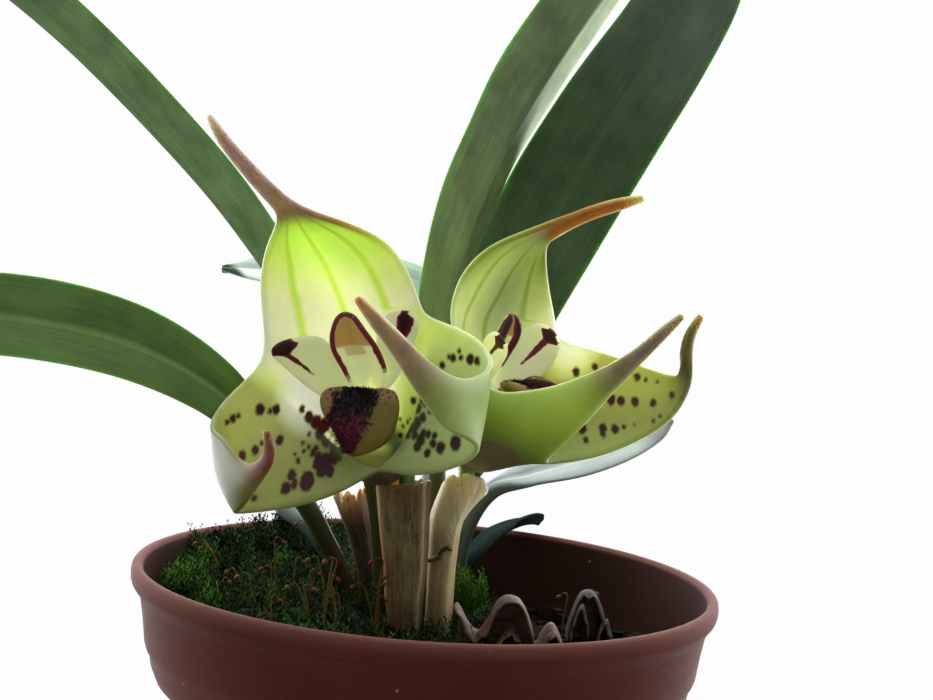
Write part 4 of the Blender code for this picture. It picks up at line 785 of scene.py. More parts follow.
PAPERS = {
    "sheath_front": papery("dry_front_sheath", "b59f6e", "6e5c38", "4a3a20", 105.0, "8a744c", 0.0),
    "sheath_right": papery("dry_right_sheath", "d0bb8a", "a68d5c", "6e4e2a", 99.0, "e6d6ae", 0.9),
    "sheath_old": papery("dry_old_sheath", "6e6050", "3c3226", "2a2016", 99.0, "9c7f70", 0.2),
}
for name, (rows, folds, fold_depth, ragged, slant) in SHEATHS.items():
    steps, sides = 60, 72
    path = smooth_path(rows, steps)
    points, marks = [], {"side": [], "run": [], "rusty": [], "bright": []}
    for wall in (0.0, SHEATH_WALL):
        for i, (x, y, z, wide, deep) in enumerate(path):
            share = i / (steps - 1)
            for k in range(sides):
                a = 2 * math.pi * k / sides
                pleat = 1.0 + fold_depth * math.sin(folds * a + 0.7)
                crease = 0.05 * noise.noise(Vector((3 * math.cos(a), 3 * math.sin(a), z * 0.12)))
                tear = ragged * math.sin(3 * a + 1.0) * math.cos(5 * a) - slant * math.sin(a)
                tear += 1.2 * ragged * noise.noise(Vector((9 * math.cos(a), 9 * math.sin(a), 5.0)))
                tear *= max(0.0, (share - 0.8) / 0.2)
                points.append((x + (wide * (pleat + crease) - wall) * math.cos(a),
                               y + (deep * (pleat + crease) - wall) * math.sin(a), z + tear))
                marks["side"].append(abs(k / sides - 0.5) * 2)
                marks["run"].append(z)
                front = name == "sheath_front"
                marks["rusty"].append(0.9 * front * math.exp(-(((k / sides) - 0.575) / 0.028) ** 2))
                marks["bright"].append(0.7 * front * math.exp(-(((k / sides) - 0.9) / 0.018) ** 2))
    base = steps * sides
    faces = ring_faces(0, steps, sides)
    faces += [tuple(reversed(face)) for face in ring_faces(base, steps, sides)]
    for end in (0, (steps - 1) * sides):
        for k in range(sides):
            after = (k + 1) % sides
            faces.append((end + k, end + after, base + end + after, base + end + k))
    piece(name + "_paper", points, faces, [PAPERS[name]],
          [name], marks=marks)

# Two dark scraps of an older sheath still ring the right one, halfway up.
SCRAPS = [[(-0.6, -1.4, 94.3), (0.4, -2.3, 94.3), (1.4, -2.6, 94.9), (2.2, -2.7, 95.1)],
          [(1.8, -2.7, 95.6), (2.6, -2.75, 96.5), (3.4, -2.6, 96.9), (4.1, -2.1, 96.4)]]
points, faces = [], []
for path in SCRAPS:
    thread(points, faces, smooth_path(path, 14), 0.3 + 0.12 * np.sin(np.linspace(0, 3.1, 14)), sides=7)
piece("sheath_scraps", points, faces, [PAPERS["sheath_old"]], ["sheath_right"], turned=False)


# The calyx of each bloom: three fleshy sepals joined in a cup, each drawn out into a tail, green
# and smooth outside, pale and spotted inside, with the ovary and its stalk below.
SEPAL = 0.9
SEPAL_TAIL = 1.4
TAIL_SLIM = 0.4
FRONT_THROAT = (-16.0, -14.0, 122.0)
FRONT_CUP = [((6.5, 14.5, -7.6), (1, 0, 0), 4.5, 5.0), ((5.5, 9.8, -6.0), (1, 0, 0), 8.5, 10.2)]
FRONT_DORSAL = [
    ((-13.5, -2, 7.5), (-0.5, 8, 10), (12, 1, 16.5), 0),
    ((-14.5, -2, 14), (-1.5, 9, 15.5), (11, 0, 19), 0),
    ((-15.5, -2, 19.5), (-4, 9, 20.5), (9.5, -1, 22.5), 0),
    ((-15, -3, 24), (-6, 7, 24.5), (7, -2, 26.5), 0),
    ((-14.3, -3.5, 27), (-8.5, 3.5, 28), (3.5, -2.5, 29.5), 0),
    ((-13.5, -4, 29.5), (-10, 0, 30.7), (-3, -3, 31.7), 0.3),
    ((-13.5, -5, 31.8), (-11.2, -3.5, 32.8), (-8.5, -4.5, 32.6), 0.8),
    ((-15.6, -6, 34), (-14.5, -5.5, 35), (-13.2, -6, 36), 1),
    ((-20, -8, 38.6), (-19, -7.5, 39.5), (-18.2, -8, 40.4), 1),
    ((-23, -10, 42.6), (-22.3, -9.7, 43), (-21.6, -10, 43.5), 0.8),
    ((-24.6, -12, 46.2), (-24.3, -12, 46.4), (-24, -12, 46.6), 0.2),
]
FRONT_RIGHT = [
    ((12, 1, 16.5), (12, 9, 1.5), (6.5, -2, -9.5), 0),
    ((15, 1, 15.5), (15, 5, 2), (11, -5, -10.2), 0),
    ((18.5, 0, 14.5), (18, 1, 2), (16, -7, -9.2), 0),
    ((22, -2, 13), (21.3, -3, 2.5), (20.5, -9, -7.2), 0),
    ((24.3, -6, 10.5), (24.3, -9.5, 3.5), (23.5, -13, -4), 0),
    ((23.5, -12, 8.5), (22.6, -16, 3), (21, -18, -1.5), 0),
    ((20.5, -17, 7), (19, -21, 4), (17.5, -21, -0.5), 0.1),
    ((17, -21, 8.3), (15.6, -24, 6), (14.6, -23, 2.5), 0.3),
    ((13.5, -24.5, 11), (12.5, -26, 8.8), (11.3, -25, 6.4), 0.7),
    ((10.2, -28, 14.2), (9, -28.5, 12.9), (7.8, -28, 11.6), 1),
    ((6.9, -31, 16.8), (6.1, -31, 15.9), (5.3, -31, 15), 1),
    ((3.2, -34, 19.6), (2.9, -34, 19.4), (2.6, -34, 19.2), 0.3),
]
FRONT_LEFT = [
    ((6.5, -2, -9.5), (-5, 8, -4.5), (-13.5, -2, 7.5), 0),
    ((2, -5, -13), (-9, 3, -4.5), (-16.5, -4, 3.5), 0),
    ((-3.5, -6, -15.5), (-13.5, -1, -5.5), (-19.3, -6, 0.5), 0),
    ((-9.5, -8, -17), (-17.5, -3, -8), (-21, -8, -2.5), 0),
    ((-16.3, -12, -17.5), (-20.3, -9, -11), (-21, -11, -4.5), 0),
    ((-15, -17, -16.3), (-18.3, -16, -11.5), (-18, -16, -5), 0),
    ((-12.8, -20, -13.8), (-15.3, -21, -10.5), (-16, -20, -6.3), 0.2),
    ((-10.7, -23.5, -10.8), (-12.5, -25, -9.5), (-13.7, -23, -8), 0.6),
    ((-9, -27, -7.6), (-10, -27.5, -7.4), (-11, -27, -6.8), 1),
    ((-8.1, -30, -5), (-8.8, -30.3, -5), (-9.6, -30, -4.6), 1),
    ((-9, -33, -1.6), (-9.3, -33, -1.5), (-9.6, -33, -1.4), 0.3),
]
BACK_THROAT = (11.0, 2.0, 125.0)
BACK_CUP = [((-8, 7.0, -8.4), (0.57, 0.82, 0), 4.5, 4.8), ((-3, 3.4, -7.3), (0.57, 0.82, 0), 8.6, 9.7)]
BACK_DORSAL = [
    ((-8.5, -9, 8.5), (-4.5, 5, 7.5), (9.5, 7, 10), 0),
    ((-10, -5, 13), (-4.5, 7, 13), (9, 8, 14), 0),
    ((-9.8, -4, 17), (-2, 8, 17), (7.7, 9, 18.5), 0),
    ((-8.3, -3, 21.5), (0, 7, 22), (6.7, 8, 23), 0),
    ((-4.6, -3, 26), (2.5, 5, 25.8), (6.2, 6, 26.5), 0),
    ((0.7, -3, 28.8), (4, 1, 28.2), (6.6, 2, 28), 0.2),
    ((5, -2.5, 31), (6.7, -1, 30), (8.3, -1.5, 29.2), 0.7),
    ((11, -5, 34), (11.8, -4.7, 33), (12.5, -5, 32), 1),
    ((16.4, -7, 36), (16.9, -6.8, 35), (17.4, -7, 34), 1),
    ((21.6, -8, 37), (21.8, -8, 36.6), (22, -8, 36.2), 0.2),
]
BACK_RIGHT = [
    ((9.5, 7, 10), (9, 8, -1), (8, -6, -11.5), 0),
    ((14.5, 6, 9), (15, 5, -0.5), (14, -6, -10.5), 0),
    ((19.5, 4, 8), (20.5, 1.5, 0), (19.3, -7, -8.7), 0),
    ((24.5, 1, 6.7), (25.5, -2, 0.2), (24.3, -9, -5.7), 0),
    ((28.5, -3, 5.7), (29.2, -6, 1), (28.2, -11, -2.7), 0),
    ((31, -7, 5.7), (31.7, -10, 3), (30.7, -13, 1), 0.2),
    ((30.3, -12, 8), (31.5, -12.5, 7.3), (32.5, -13, 6.3), 0.8),
    ((29.5, -15.5, 10.6), (30.5, -15, 10.5), (31.4, -15.5, 10.4), 1),
    ((29.6, -17, 13.7), (30.4, -16.8, 13.5), (31.2, -17, 13.3), 1),
    ((31.7, -18, 17), (32, -18, 16.8), (32.3, -18, 16.6), 0.3),
]
BACK_LEFT = [
    ((8, -6, -11.5), (-7, -8, -3), (-8.5, -9, 8.5), 0),
    ((8.5, -12, -9.5), (0.5, -16, -4.5), (-3, -14, 0.5), 0),
    ((11, -16, -6), (6.5, -20, -2.5), (2.5, -17, 1.5), 0),
    ((13.5, -20, -2.5), (10.5, -23.5, 0.3), (7.5, -21, 3), 0),
    ((16, -24, 1.5), (13.8, -26.5, 3.3), (12, -24, 5.5), 0.2),
    ((18.5, -28, 5.6), (17.2, -29, 6.8), (16, -28, 8.2), 0.6),
    ((21.6, -31, 9.7), (20.8, -31.3, 10.5), (20, -31, 11.4), 1),
    ((24.4, -33, 13.6), (23.7, -33.2, 14.2), (23, -33, 14.8), 1),
    ((26.4, -35, 16.8), (26.1, -35, 17), (25.8, -35, 17.2), 0.3),
]


def arc_of(row):
    """Five points across a blade, on the parabola through its two margins and its middle."""
    left, middle, right = (np.asarray(p, float) for p in row)
    return [left, 0.375 * left + 0.75 * middle - 0.125 * right, middle,
            -0.125 * left + 0.75 * middle + 0.375 * right, right]


def slimmed(left, middle, right, pull):
    """A row with its margins pulled in toward its middle by a share of their distance."""
    left, middle, right = (np.asarray(p, float) for p in (left, middle, right))
    return left + pull * (middle - left), middle, right + pull * (middle - right)


def grown_sheet(name, points, faces, levels, marks, thick, finishes, nodes, toward):
    """A smooth sheet of tissue with two faces and a rounded margin. The face that looks toward
    the given way is the inner one, and its mark inner is 1."""
    cage_mesh = bpy.data.meshes.new("cage")
    cage_mesh.from_pydata([tuple(p) for p in points], [], faces)
    for mark, values in {**marks, "thick": thick}.items():
        found = cage_mesh.attributes.new(mark, "FLOAT", "POINT")
        found.data.foreach_set("value", np.asarray(values, np.float32))
    cage = bpy.data.objects.new("cage", cage_mesh)
    bpy.context.scene.collection.objects.link(cage)
    smooth = cage.modifiers.new("smooth", "SUBSURF")
    smooth.levels = levels
    smooth.render_levels = levels
    bpy.context.view_layer.update()
    fine = bpy.data.meshes.new_from_object(cage.evaluated_get(bpy.context.evaluated_depsgraph_get()))
    count = len(fine.vertices)
    flat = np.zeros(count * 3)
    fine.vertices.foreach_get("co", flat)
    place = flat.reshape(-1, 3).copy()
    fine.vertex_normals.foreach_get("vector", flat)
    normal = flat.reshape(-1, 3).copy()
    quads = [tuple(p.vertices) for p in fine.polygons]
    kept = {}
    for mark in (*marks, "thick"):
        values = np.zeros(count)
        fine.attributes[mark].data.foreach_get("value", values)
        kept[mark] = values
    bpy.data.objects.remove(cage, do_unlink=True)
    bpy.data.meshes.remove(fine)
    if float(np.dot(normal.mean(axis=0), toward)) < 0:
        normal = -normal
        quads = [tuple(reversed(q)) for q in quads]
    used = {}
    for q in quads:
        for a, b in zip(q, q[1:] + q[:1]):
            used[(a, b)] = True
    edges = [(a, b) for a, b in used if (b, a) not in used]
    out = np.zeros((count, 3))
    for a, b in edges:
        step = np.cross(place[b] - place[a], normal[a] + normal[b])
        step /= np.linalg.norm(step) + 1e-12
        out[a] += step
        out[b] += step
    rim = sorted({v for edge in edges for v in edge})
    spot = {v: 2 * count + i for i, v in enumerate(rim)}
    half = 0.5 * kept["thick"][:, None]
    lip_out = [place[v] + out[v] / (np.linalg.norm(out[v]) + 1e-12) * half[v] * 0.8 for v in rim]
    every = list(place + normal * half) + list(place - normal * half) + lip_out
    shell = quads + [tuple(count + v for v in reversed(q)) for q in quads]
    for a, b in edges:
        shell.append((b, a, spot[a], spot[b]))
        shell.append((spot[b], spot[a], count + a, count + b))
    both = {mark: np.concatenate([kept[mark], kept[mark], kept[mark][rim]]) for mark in marks}
    both["inner"] = [1.0] * count + [0.0] * count + [0.5] * len(rim)
    return piece(name, every, shell, finishes, nodes, marks=both, turned=False)


SPOT_FLAT = (1.0, 0.3, 0.72)


def sepal_tissue(name, spots, gap, tones):
    """The flesh of the sepals: thin and full of water, so that daylight from behind makes it glow.
    It is white in the throat and green further out, with three veins in the upper sepal, purple
    spots inside, each taller than wide and running into the tissue, brownish tails and a brown
    chin. The colour is given its own tone on each sepal, lower down and toward the tail."""
    made, tree, shader, place = new_finish(name, 0.4, {
        "IOR": 1.42, "Specular IOR Level": 0.3, "Subsurface Weight": 0.9,
        "Subsurface Radius": (1.0, 1.0, 0.62), "Subsurface Scale": 0.0042})
    run, side, upper, leftmost, drawn, tip, inner = (
        put(tree, "Attribute", {"attribute_name": mark}, "Fac")
        for mark in ("run", "side", "upper", "leftmost", "drawn", "tip", "inner"))
    across = put(tree, "Math", {"operation": "ABSOLUTE", 0: side})
    outside = put(tree, "Math", {"operation": "SUBTRACT", 0: 1.0, 1: inner})
    cloud = put(tree, "TexNoise", {"Vector": place, "Scale": 240.0, "Detail": 4.0})
    up = put(tree, "SeparateXYZ", {0: place}, "Z")

    # Where each tone lies: low in the cup, along the upper sepal's rim and high up on it, toward the tails of
    # the two others, where a darker olive is painted shade, at the upper sepal's foot, which is white, and in
    # a white patch of the left one between the petal and the lip.
    low = put(tree, "MapRange", {"Value": up, "From Min": 0.111, "From Max": 0.122, "To Min": 0.9,
                                 "To Max": 0.0})
    rim = put(tree, "MapRange", {"Value": across, "From Min": 0.45, "From Max": 1.0, "To Max": 0.85})
    high = put(tree, "MapRange", {"Value": run, "From Min": 0.34, "From Max": 0.62, "To Max": 0.8})
    rim = put(tree, "Math", {"operation": "MAXIMUM", 0: rim, 1: high})
    rim = put(tree, "Math", {"operation": "MULTIPLY", 0: rim, 1: upper})
    # Painted shade: a darker olive spreads toward the tails of the two lower sepals.
    painted_tail_shade = put(tree, "MapRange", {"Value": run, "From Min": 0.38, "From Max": 0.75, "To Max": 0.8})
    lower = put(tree, "Math", {"operation": "SUBTRACT", 0: 1.0, 1: upper})
    painted_tail_shade = put(tree, "Math", {"operation": "MULTIPLY", 0: painted_tail_shade, 1: lower})
    pale = put(tree, "MapRange", {"Value": run, "From Min": 0.04, "From Max": 0.42, "To Min": 1.0,
                                  "To Max": 0.0, "interpolation_type": "SMOOTHSTEP"})
    for part in (upper, inner):
        pale = put(tree, "Math", {"operation": "MULTIPLY", 0: pale, 1: part})
    patch = tuple(v * MM for v in tones["patch"])
    patch = put(tree, "VectorMath", {"operation": "DISTANCE", 0: place, 1: patch}, "Value")
    patch = put(tree, "MapRange", {"Value": patch, "From Min": 0.003, "From Max": 0.0085, "To Min": 1.0,
                                   "To Max": 0.0})
    patch = put(tree, "Math", {"operation": "MULTIPLY", 0: patch, 1: inner})
    flesh, outer = (put(tree, "Mix", {0: leftmost, 6: linear(tones[right]), 7: linear(tones[left])})
                    for left, right in (("left", "right"), ("outer_left", "outer_right")))
    for part, tone in ((low, linear(tones["low"])), (upper, linear(tones["dorsal"])),
                       (rim, linear(tones["margin"])), (outside, outer),
                       (painted_tail_shade, linear(tones["tailward_shade"])), (pale, linear(tones["foot"])),
                       (patch, linear(tones["throat"]))):
        flesh = put(tree, "Mix", {0: part, 6: flesh, 7: tone})
    part = put(tree, "MapRange", {"Value": cloud, "From Min": 0.3, "From Max": 0.7, "To Min": 0.94,
                                  "To Max": 1.04})
    flesh = put(tree, "Mix", {"blend_type": "MULTIPLY", 0: 1.0, 6: flesh, 7: part})

    # The three veins of the upper sepal, each about 1.2 mm wide, run out from the cup and meet in
    # the tail, where they brown.
    wander = put(tree, "TexNoise", {"Vector": place, "Scale": 60.0, "Detail": 1.0})
    wander = put(tree, "MapRange", {"Value": wander, "To Min": -0.05, "To Max": 0.05})
    line = put(tree, "Math", {"operation": "ADD", 0: across, 1: wander})
    off = put(tree, "Math", {"operation": "SUBTRACT", 0: line, 1: 0.6})
    off = put(tree, "Math", {"operation": "ABSOLUTE", 0: off})
    near = put(tree, "Math", {"operation": "MINIMUM", 0: off, 1: across})
    vein = put(tree, "MapRange", {"Value": near, "From Min": 0.01, "From Max": 0.085, "To Min": 0.7,
                                  "To Max": 0.0, "interpolation_type": "SMOOTHSTEP"})
    pure = put(tree, "MapRange", {"Value": upper, "From Min": 0.9, "From Max": 1.0})
    vein = put(tree, "Math", {"operation": "MULTIPLY", 0: vein, 1: pure})
    browning = put(tree, "MapRange", {"Value": run, "From Min": 0.3, "From Max": 0.6})
    green = put(tree, "Mix", {0: browning, 6: linear(tones["vein"]), 7: linear("a08c3e")})
    flesh = put(tree, "Mix", {0: vein, 6: flesh, 7: green})
    # The flush that runs down the upper sepal's right margin from its tail.
    flush = put(tree, "MapRange", {"Value": side, "From Min": 0.86, "From Max": 0.98})
    part = put(tree, "MapRange", {"Value": run, "From Min": 0.3, "From Max": 0.5})
    flush = put(tree, "Math", {"operation": "MULTIPLY", 0: flush, 1: part})
    flush = put(tree, "Math", {"operation": "MULTIPLY", 0: flush, 1: upper})
    flesh = put(tree, "Mix", {0: flush, 6: flesh, 7: linear("9a7a44")})

    # The tails: each has its own tone where it starts, further on and at its end.
    shades = []
    for left_tone, right_tone, top_tone in zip(tones["left_tail"], tones["right_tail"], tones["top_tail"]):
        shade = put(tree, "Mix", {0: leftmost, 6: linear(right_tone), 7: linear(left_tone)})
        shades.append(put(tree, "Mix", {0: upper, 6: shade, 7: linear(top_tone)}))
    part = put(tree, "MapRange", {"Value": tip, "From Min": 0.0, "From Max": 0.55})
    tail = put(tree, "Mix", {0: part, 6: shades[0], 7: shades[1]})
    part = put(tree, "MapRange", {"Value": tip, "From Min": 0.84, "From Max": 1.0})
    tail = put(tree, "Mix", {0: part, 6: tail, 7: shades[2]})
    streak = put(tree, "TexNoise", {"Vector": place, "Scale": 330.0, "Detail": 3.0})
    streak = put(tree, "MapRange", {"Value": streak, "From Min": 0.3, "From Max": 0.7, "To Min": 0.8,
                                    "To Max": 1.15})
    tail = put(tree, "Mix", {"blend_type": "MULTIPLY", 0: 1.0, 6: tail, 7: streak})
    keep = put(tree, "MapRange", {"Value": across, "From Min": 0.45, "From Max": 0.95, "To Min": 1.0,
                                  "To Max": 1.0 - tones["green_margin"]})
    flushed = put(tree, "MapRange", {"Value": drawn, "From Min": 0.04, "From Max": 0.8,
                                     "interpolation_type": "SMOOTHSTEP"})
    flushed = put(tree, "Math", {"operation": "MULTIPLY", 0: flushed, 1: keep})
    flesh = put(tree, "Mix", {0: flushed, 6: flesh, 7: tail})

    cup = put(tree, "MapRange", {"Value": run, "From Min": -0.04, "From Max": 0.03, "To Min": 1.0,
                                 "To Max": 0.0, "interpolation_type": "SMOOTHSTEP"})
    chin = put(tree, "VectorMath", {"operation": "SUBTRACT", 0: place,
                                    1: tuple(v * MM for v in tones["chin_at"])})
    chin = put(tree, "VectorMath", {"operation": "MULTIPLY", 0: chin, 1: (0.6, 0.2, 1.0)})
    chin = put(tree, "VectorMath", {"operation": "LENGTH", 0: chin}, "Value")
    chin = put(tree, "MapRange", {"Value": chin, "From Min": 0.0026, "From Max": 0.0034, "To Min": 1.0,
                                  "To Max": 0.0, "interpolation_type": "SMOOTHSTEP"})
    # The bottom of the cup inside is a dull green.
    within = put(tree, "MapRange", {"Value": up, "From Min": 0.112, "From Max": 0.114, "To Min": 1.0,
                                    "To Max": 0.0})
    within = put(tree, "Math", {"operation": "MULTIPLY", 0: cup, 1: within})
    within = put(tree, "Math", {"operation": "MULTIPLY", 0: within, 1: inner})
    flesh = put(tree, "Mix", {0: within, 6: flesh, 7: linear("565e3a")})
    cup = put(tree, "Math", {"operation": "MAXIMUM", 0: cup, 1: chin})
    cup = put(tree, "Math", {"operation": "MULTIPLY", 0: cup, 1: outside})
    flesh = put(tree, "Mix", {0: cup, 6: flesh, 7: linear(tones["chin"])})

    ragged = put(tree, "TexNoise", {"Vector": place, "Scale": 900.0, "Detail": 2.0}, "Color")
    ragged = put(tree, "VectorMath", {"operation": "SUBTRACT", 0: ragged, 1: (0.5, 0.5, 0.5)})
    ragged = put(tree, "VectorMath", {"operation": "SCALE", 0: ragged, "Scale": 0.0007})
    ragged = put(tree, "VectorMath", {"operation": "ADD", 0: place, 1: ragged})
    ragged = put(tree, "VectorMath", {"operation": "MULTIPLY", 0: ragged, 1: SPOT_FLAT})
    for group, colour in ((spots, "24051c"), (gap, tones["throat"])):
        nearest = None
        for *at, size in group:
            at = tuple(v * MM * flat for v, flat in zip(at, SPOT_FLAT))
            far = put(tree, "VectorMath", {"operation": "DISTANCE", 0: ragged, 1: at}, "Value")
            far = put(tree, "Math", {"operation": "SUBTRACT", 0: far, 1: size * MM})
            if nearest:
                far = put(tree, "Math", {"operation": "MINIMUM", 0: nearest, 1: far})
            nearest = far
        if nearest:
            mark = put(tree, "MapRange", {"Value": nearest, "From Min": -0.00025, "From Max": 0.0003,
                                          "To Min": 1.0, "To Max": 0.0,
                                          "interpolation_type": "SMOOTHSTEP"})
            mark = put(tree, "Math", {"operation": "MULTIPLY", 0: mark, 1: inner})
            flesh = put(tree, "Mix", {0: mark, 6: flesh, 7: linear(colour)})
    tree.links.new(flesh, shader.inputs["Base Color"])
    skin = put(tree, "TexNoise", {"Vector": place, "Scale": 2200.0, "Detail": 2.0})
    bump = put(tree, "Bump", {"Strength": 0.2, "Distance": 0.00008, "Height": skin})
    tree.links.new(bump, shader.inputs["Normal"])
    return made


def calyx(name, origin, cup, sepals, node):
    """The cup and its three sepals in one sheet. Run counts from 0 at the cup's mouth to 1 at the
    tips, side from -1 to 1 across a sepal, drawn from 0 to 1 where a sepal turns into its tail,
    and tip from 0 to 1 along the tail."""
    mouth = [p for sepal in sepals for p in arc_of(sepal[0][:3])[:4]]
    size = len(mouth)
    points, faces = [], [tuple(reversed(range(size)))]
    marks = {mark: [] for mark in ("run", "side", "upper", "leftmost", "tail", "drawn", "tip")}

    def note(*values):
        for mark, value in zip(marks, values):
            marks[mark].append(float(value))

    for level_in, (centre, along, wide, tall) in enumerate(cup):
        centre, along = np.asarray(centre, float), np.asarray(along, float)
        middle = np.mean(mouth, axis=0)
        for k, p in enumerate(mouth):
            turn = math.atan2(p[2] - middle[2], float(np.dot(p - middle, along)))
            rise = np.array([0.0, 0.0, tall * math.sin(turn)])
            points.append(centre + wide * math.cos(turn) * along + rise)
            note(-0.3 + 0.15 * level_in, (-1, -0.5, 0, 0.5)[k % 4], k < 4, k >= 8, 0, 0, 0)
    points += mouth
    for k in range(size):
        note(0, (-1, -0.5, 0, 0.5)[k % 4], k < 4, k >= 8, 0, 0, 0)
    faces += ring_faces(0, len(cup) + 1, size)
    start = len(cup) * size
    for s, sepal in enumerate(sepals):
        row = [start + (4 * s + k) % size for k in range(5)]
        first = next(i for i, found in enumerate(sepal) if found[3])
        drawn = 0.0
        for i, (left, centre, right, weight) in enumerate(sepal[1:]):
            fresh = list(range(len(points), len(points) + 5))
            points += arc_of(slimmed(left, centre, right, TAIL_SLIM * weight))
            drawn = max(drawn, weight)
            tip = max(0.0, (i + 1 - first) / (len(sepal) - 1 - first))
            for side in (-1, -0.5, 0, 0.5, 1):
                note((i + 1) / (len(sepal) - 1), side, s == 0, s == 2, weight, drawn, tip)
            for k in range(4):
                faces.append((row[k], row[k + 1], fresh[k + 1], fresh[k]))
            row = fresh
    thick = [SEPAL + (SEPAL_TAIL - SEPAL) * t for t in marks["tail"]]
    points = [np.asarray(p) + np.asarray(origin) for p in points]
    return grown_sheet(name, points, faces, 3, marks, thick, [], [node], (0.0, -1.0, 0.0))


def read_mark(made, mark):
    """The values of a mark at every point of a piece."""
    values = np.zeros(len(made.data.vertices))
    made.data.attributes[mark].data.foreach_get("value", values)
    return values


# Spots as the picture shows them: where each lies and its half width, all in pixels. They stand in
# loose rows, and run together into a blotch at each side of the lip, where a white line parts them.
FRONT_SPOTS = [
    (260, 409, 4.5), (270, 411, 2.4), (276, 409, 4.0), (233, 419, 3.3), (227, 422, 2.2),
    (238, 416, 2.2), (242, 456, 3.8), (255, 450, 3.5), (262, 443, 2.0), (280, 440, 3.6),
    (295, 454, 1.4), (298, 461, 2.2), (292, 475, 4.3), (286, 488, 4.8), (294, 484, 3.8),
    (307, 481, 7.1), (254, 498, 2.7), (304, 451, 1.7), (309, 434, 1.8), (303, 443, 1.5),
    (309, 447, 1.8), (316, 449, 2.8),
    (302, 409, 3.2), (309, 417, 4.6), (316, 422, 5.4), (324, 426, 6.5), (321, 434, 5.6),
    (327, 441, 5.4), (334, 447, 4.6), (341, 451, 3.4), (340, 433, 5.0), (346, 441, 4.4),
    (330, 429, 5.0), (325, 462, 7.0), (334, 457, 6.0), (318, 457, 4.0), (322, 469, 6.0),
    (330, 471, 4.5), (339, 457, 3.5), (313, 453, 3.0), (318, 463, 5.0),
    (413.5, 400.5, 2.9), (418, 408.5, 4.0), (422.5, 417.5, 3.5), (421.5, 401, 2.4),
    (424.5, 404, 2.3), (430, 411, 2.7), (417, 422.5, 4.3), (413.5, 428, 5.0), (408.5, 430, 4.5),
    (414.5, 435.5, 3.5), (408, 435, 3.0), (400.5, 435.5, 2.3), (403, 426, 1.5), (400, 419.5, 1.5),
    (407.5, 422, 1.6), (410, 419, 1.0), (420.5, 440, 4.8), (417.5, 446, 4.2), (423, 434, 3.6),
    (428, 434, 3.0), (434.5, 436, 2.8), (433, 443.5, 3.5), (427.5, 453, 3.2), (440.5, 447.5, 4.6),
    (455.5, 443, 5.6),
    (442, 365, 2.8), (449, 357, 2.0), (453, 358, 3.4), (459, 351, 1.9), (461, 358, 2.4),
    (470, 359, 4.0), (477, 361, 3.4),
]
FRONT_GAP = [(336, 426, 2.2), (331.5, 430, 2.4), (328, 435, 2.6), (333, 440, 2.4), (339, 444, 2.4),
             (346, 450, 2.2)]
BACK_SPOTS = [
    (576, 372, 3.7), (595, 367, 3.0), (637, 377, 3.0), (646, 380, 1.9), (657, 382, 1.2),
    (611, 400, 4.1), (621, 401, 3.7), (635, 402, 3.7), (653, 403, 2.9), (672, 395, 2.5),
    (582, 428, 4.3), (586, 440, 2.5), (603, 428, 3.5), (603, 433, 3.1),
    (615, 429, 3.5), (624, 427, 1.9), (635, 425, 1.1), (653, 421, 1.5), (660, 416, 1.5),
]
# Two more, in millimetres, lie low in the back bloom's cup, behind the edge of its left sepal.
BACK_HIDDEN = [(20.0, 0.0, 119.0, 1.1), (26.1, 1.0, 120.8, 0.7)]
SKIP = 0.03


def seen_on(sheet, spots):
    """The place and half width in millimetres of spots of the picture, carried on to the first
    inner face of a sheet that the camera sees there, or would see if no tail crossed it."""
    bare = (read_mark(sheet, "inner") < 0.6) | (read_mark(sheet, "drawn") > 0.3)
    faces = [tuple(face.vertices) for face in sheet.data.polygons]
    skin = BVHTree.FromPolygons([point.co / MM for point in sheet.data.vertices], faces)
    found = []
    for across, down, wide in spots:
        way = view_line(across, down)
        at, _, face, _ = skin.ray_cast(Vector(EYE), way)
        while bare[faces[face][0]]:
            at, _, face, _ = skin.ray_cast(at + way * SKIP, way)
        found.append((*at, wide * (at - Vector(EYE)).length / FOCAL_PIXELS))
    return found


FRONT_TONES = {
    "dorsal": "b6e684", "margin": "c0ea78", "left": "a8ae86", "right": "cae1a0", "low": "868c58",
    "outer_left": "5c6638", "outer_right": "acc880", "tailward_shade": "686a30", "foot": "f4fcd4",
    "throat": "f8fcf2", "patch": (-22.6, -8.1, 122.4), "vein": "a8d448",
    "chin": "74644f", "chin_at": (-9.5, -4.0, 110.0),
    "top_tail": ("8f826c", "957b90", "a28e96"), "left_tail": ("8a8656", "74423a", "66342e"),
    "right_tail": ("8e8a5c", "948070", "8a5650"), "green_margin": 0.0,
}
BACK_TONES = {
    # The right sepal's darker tone is partly painted shade, the shade toward its tail.
    "dorsal": "cfe696", "margin": "6a7e34", "left": "b4c27c", "right": "8c9262", "low": "aabe88",
    "outer_left": "9bb268", "outer_right": "98a854", "tailward_shade": "747a44", "foot": "dcecae",
    "throat": "f2f8e8", "patch": (24.0, 12.0, 135.0), "vein": "94ac4a",
    "chin": "988d78", "chin_at": (10.0, 0.0, 114.4),
    "top_tail": ("a07440", "a85c38", "a89c64"), "left_tail": ("868068", "806e78", "746068"),
    "right_tail": ("625a4e", "624e50", "844a46"), "green_margin": 0.3,
}
sheet = calyx("front_calyx", FRONT_THROAT, FRONT_CUP, [FRONT_DORSAL, FRONT_RIGHT, FRONT_LEFT],
              "bloom_front_sepals")
sheet.data.materials.append(sepal_tissue("front_sepal_flesh", seen_on(sheet, FRONT_SPOTS),
                                         seen_on(sheet, FRONT_GAP), FRONT_TONES))
sheet = calyx("back_calyx", BACK_THROAT, BACK_CUP, [BACK_DORSAL, BACK_RIGHT, BACK_LEFT],
              "bloom_back_sepals")
sheet.data.materials.append(sepal_tissue(
    "back_sepal_flesh", seen_on(sheet, BACK_SPOTS) + BACK_HIDDEN, [], BACK_TONES))


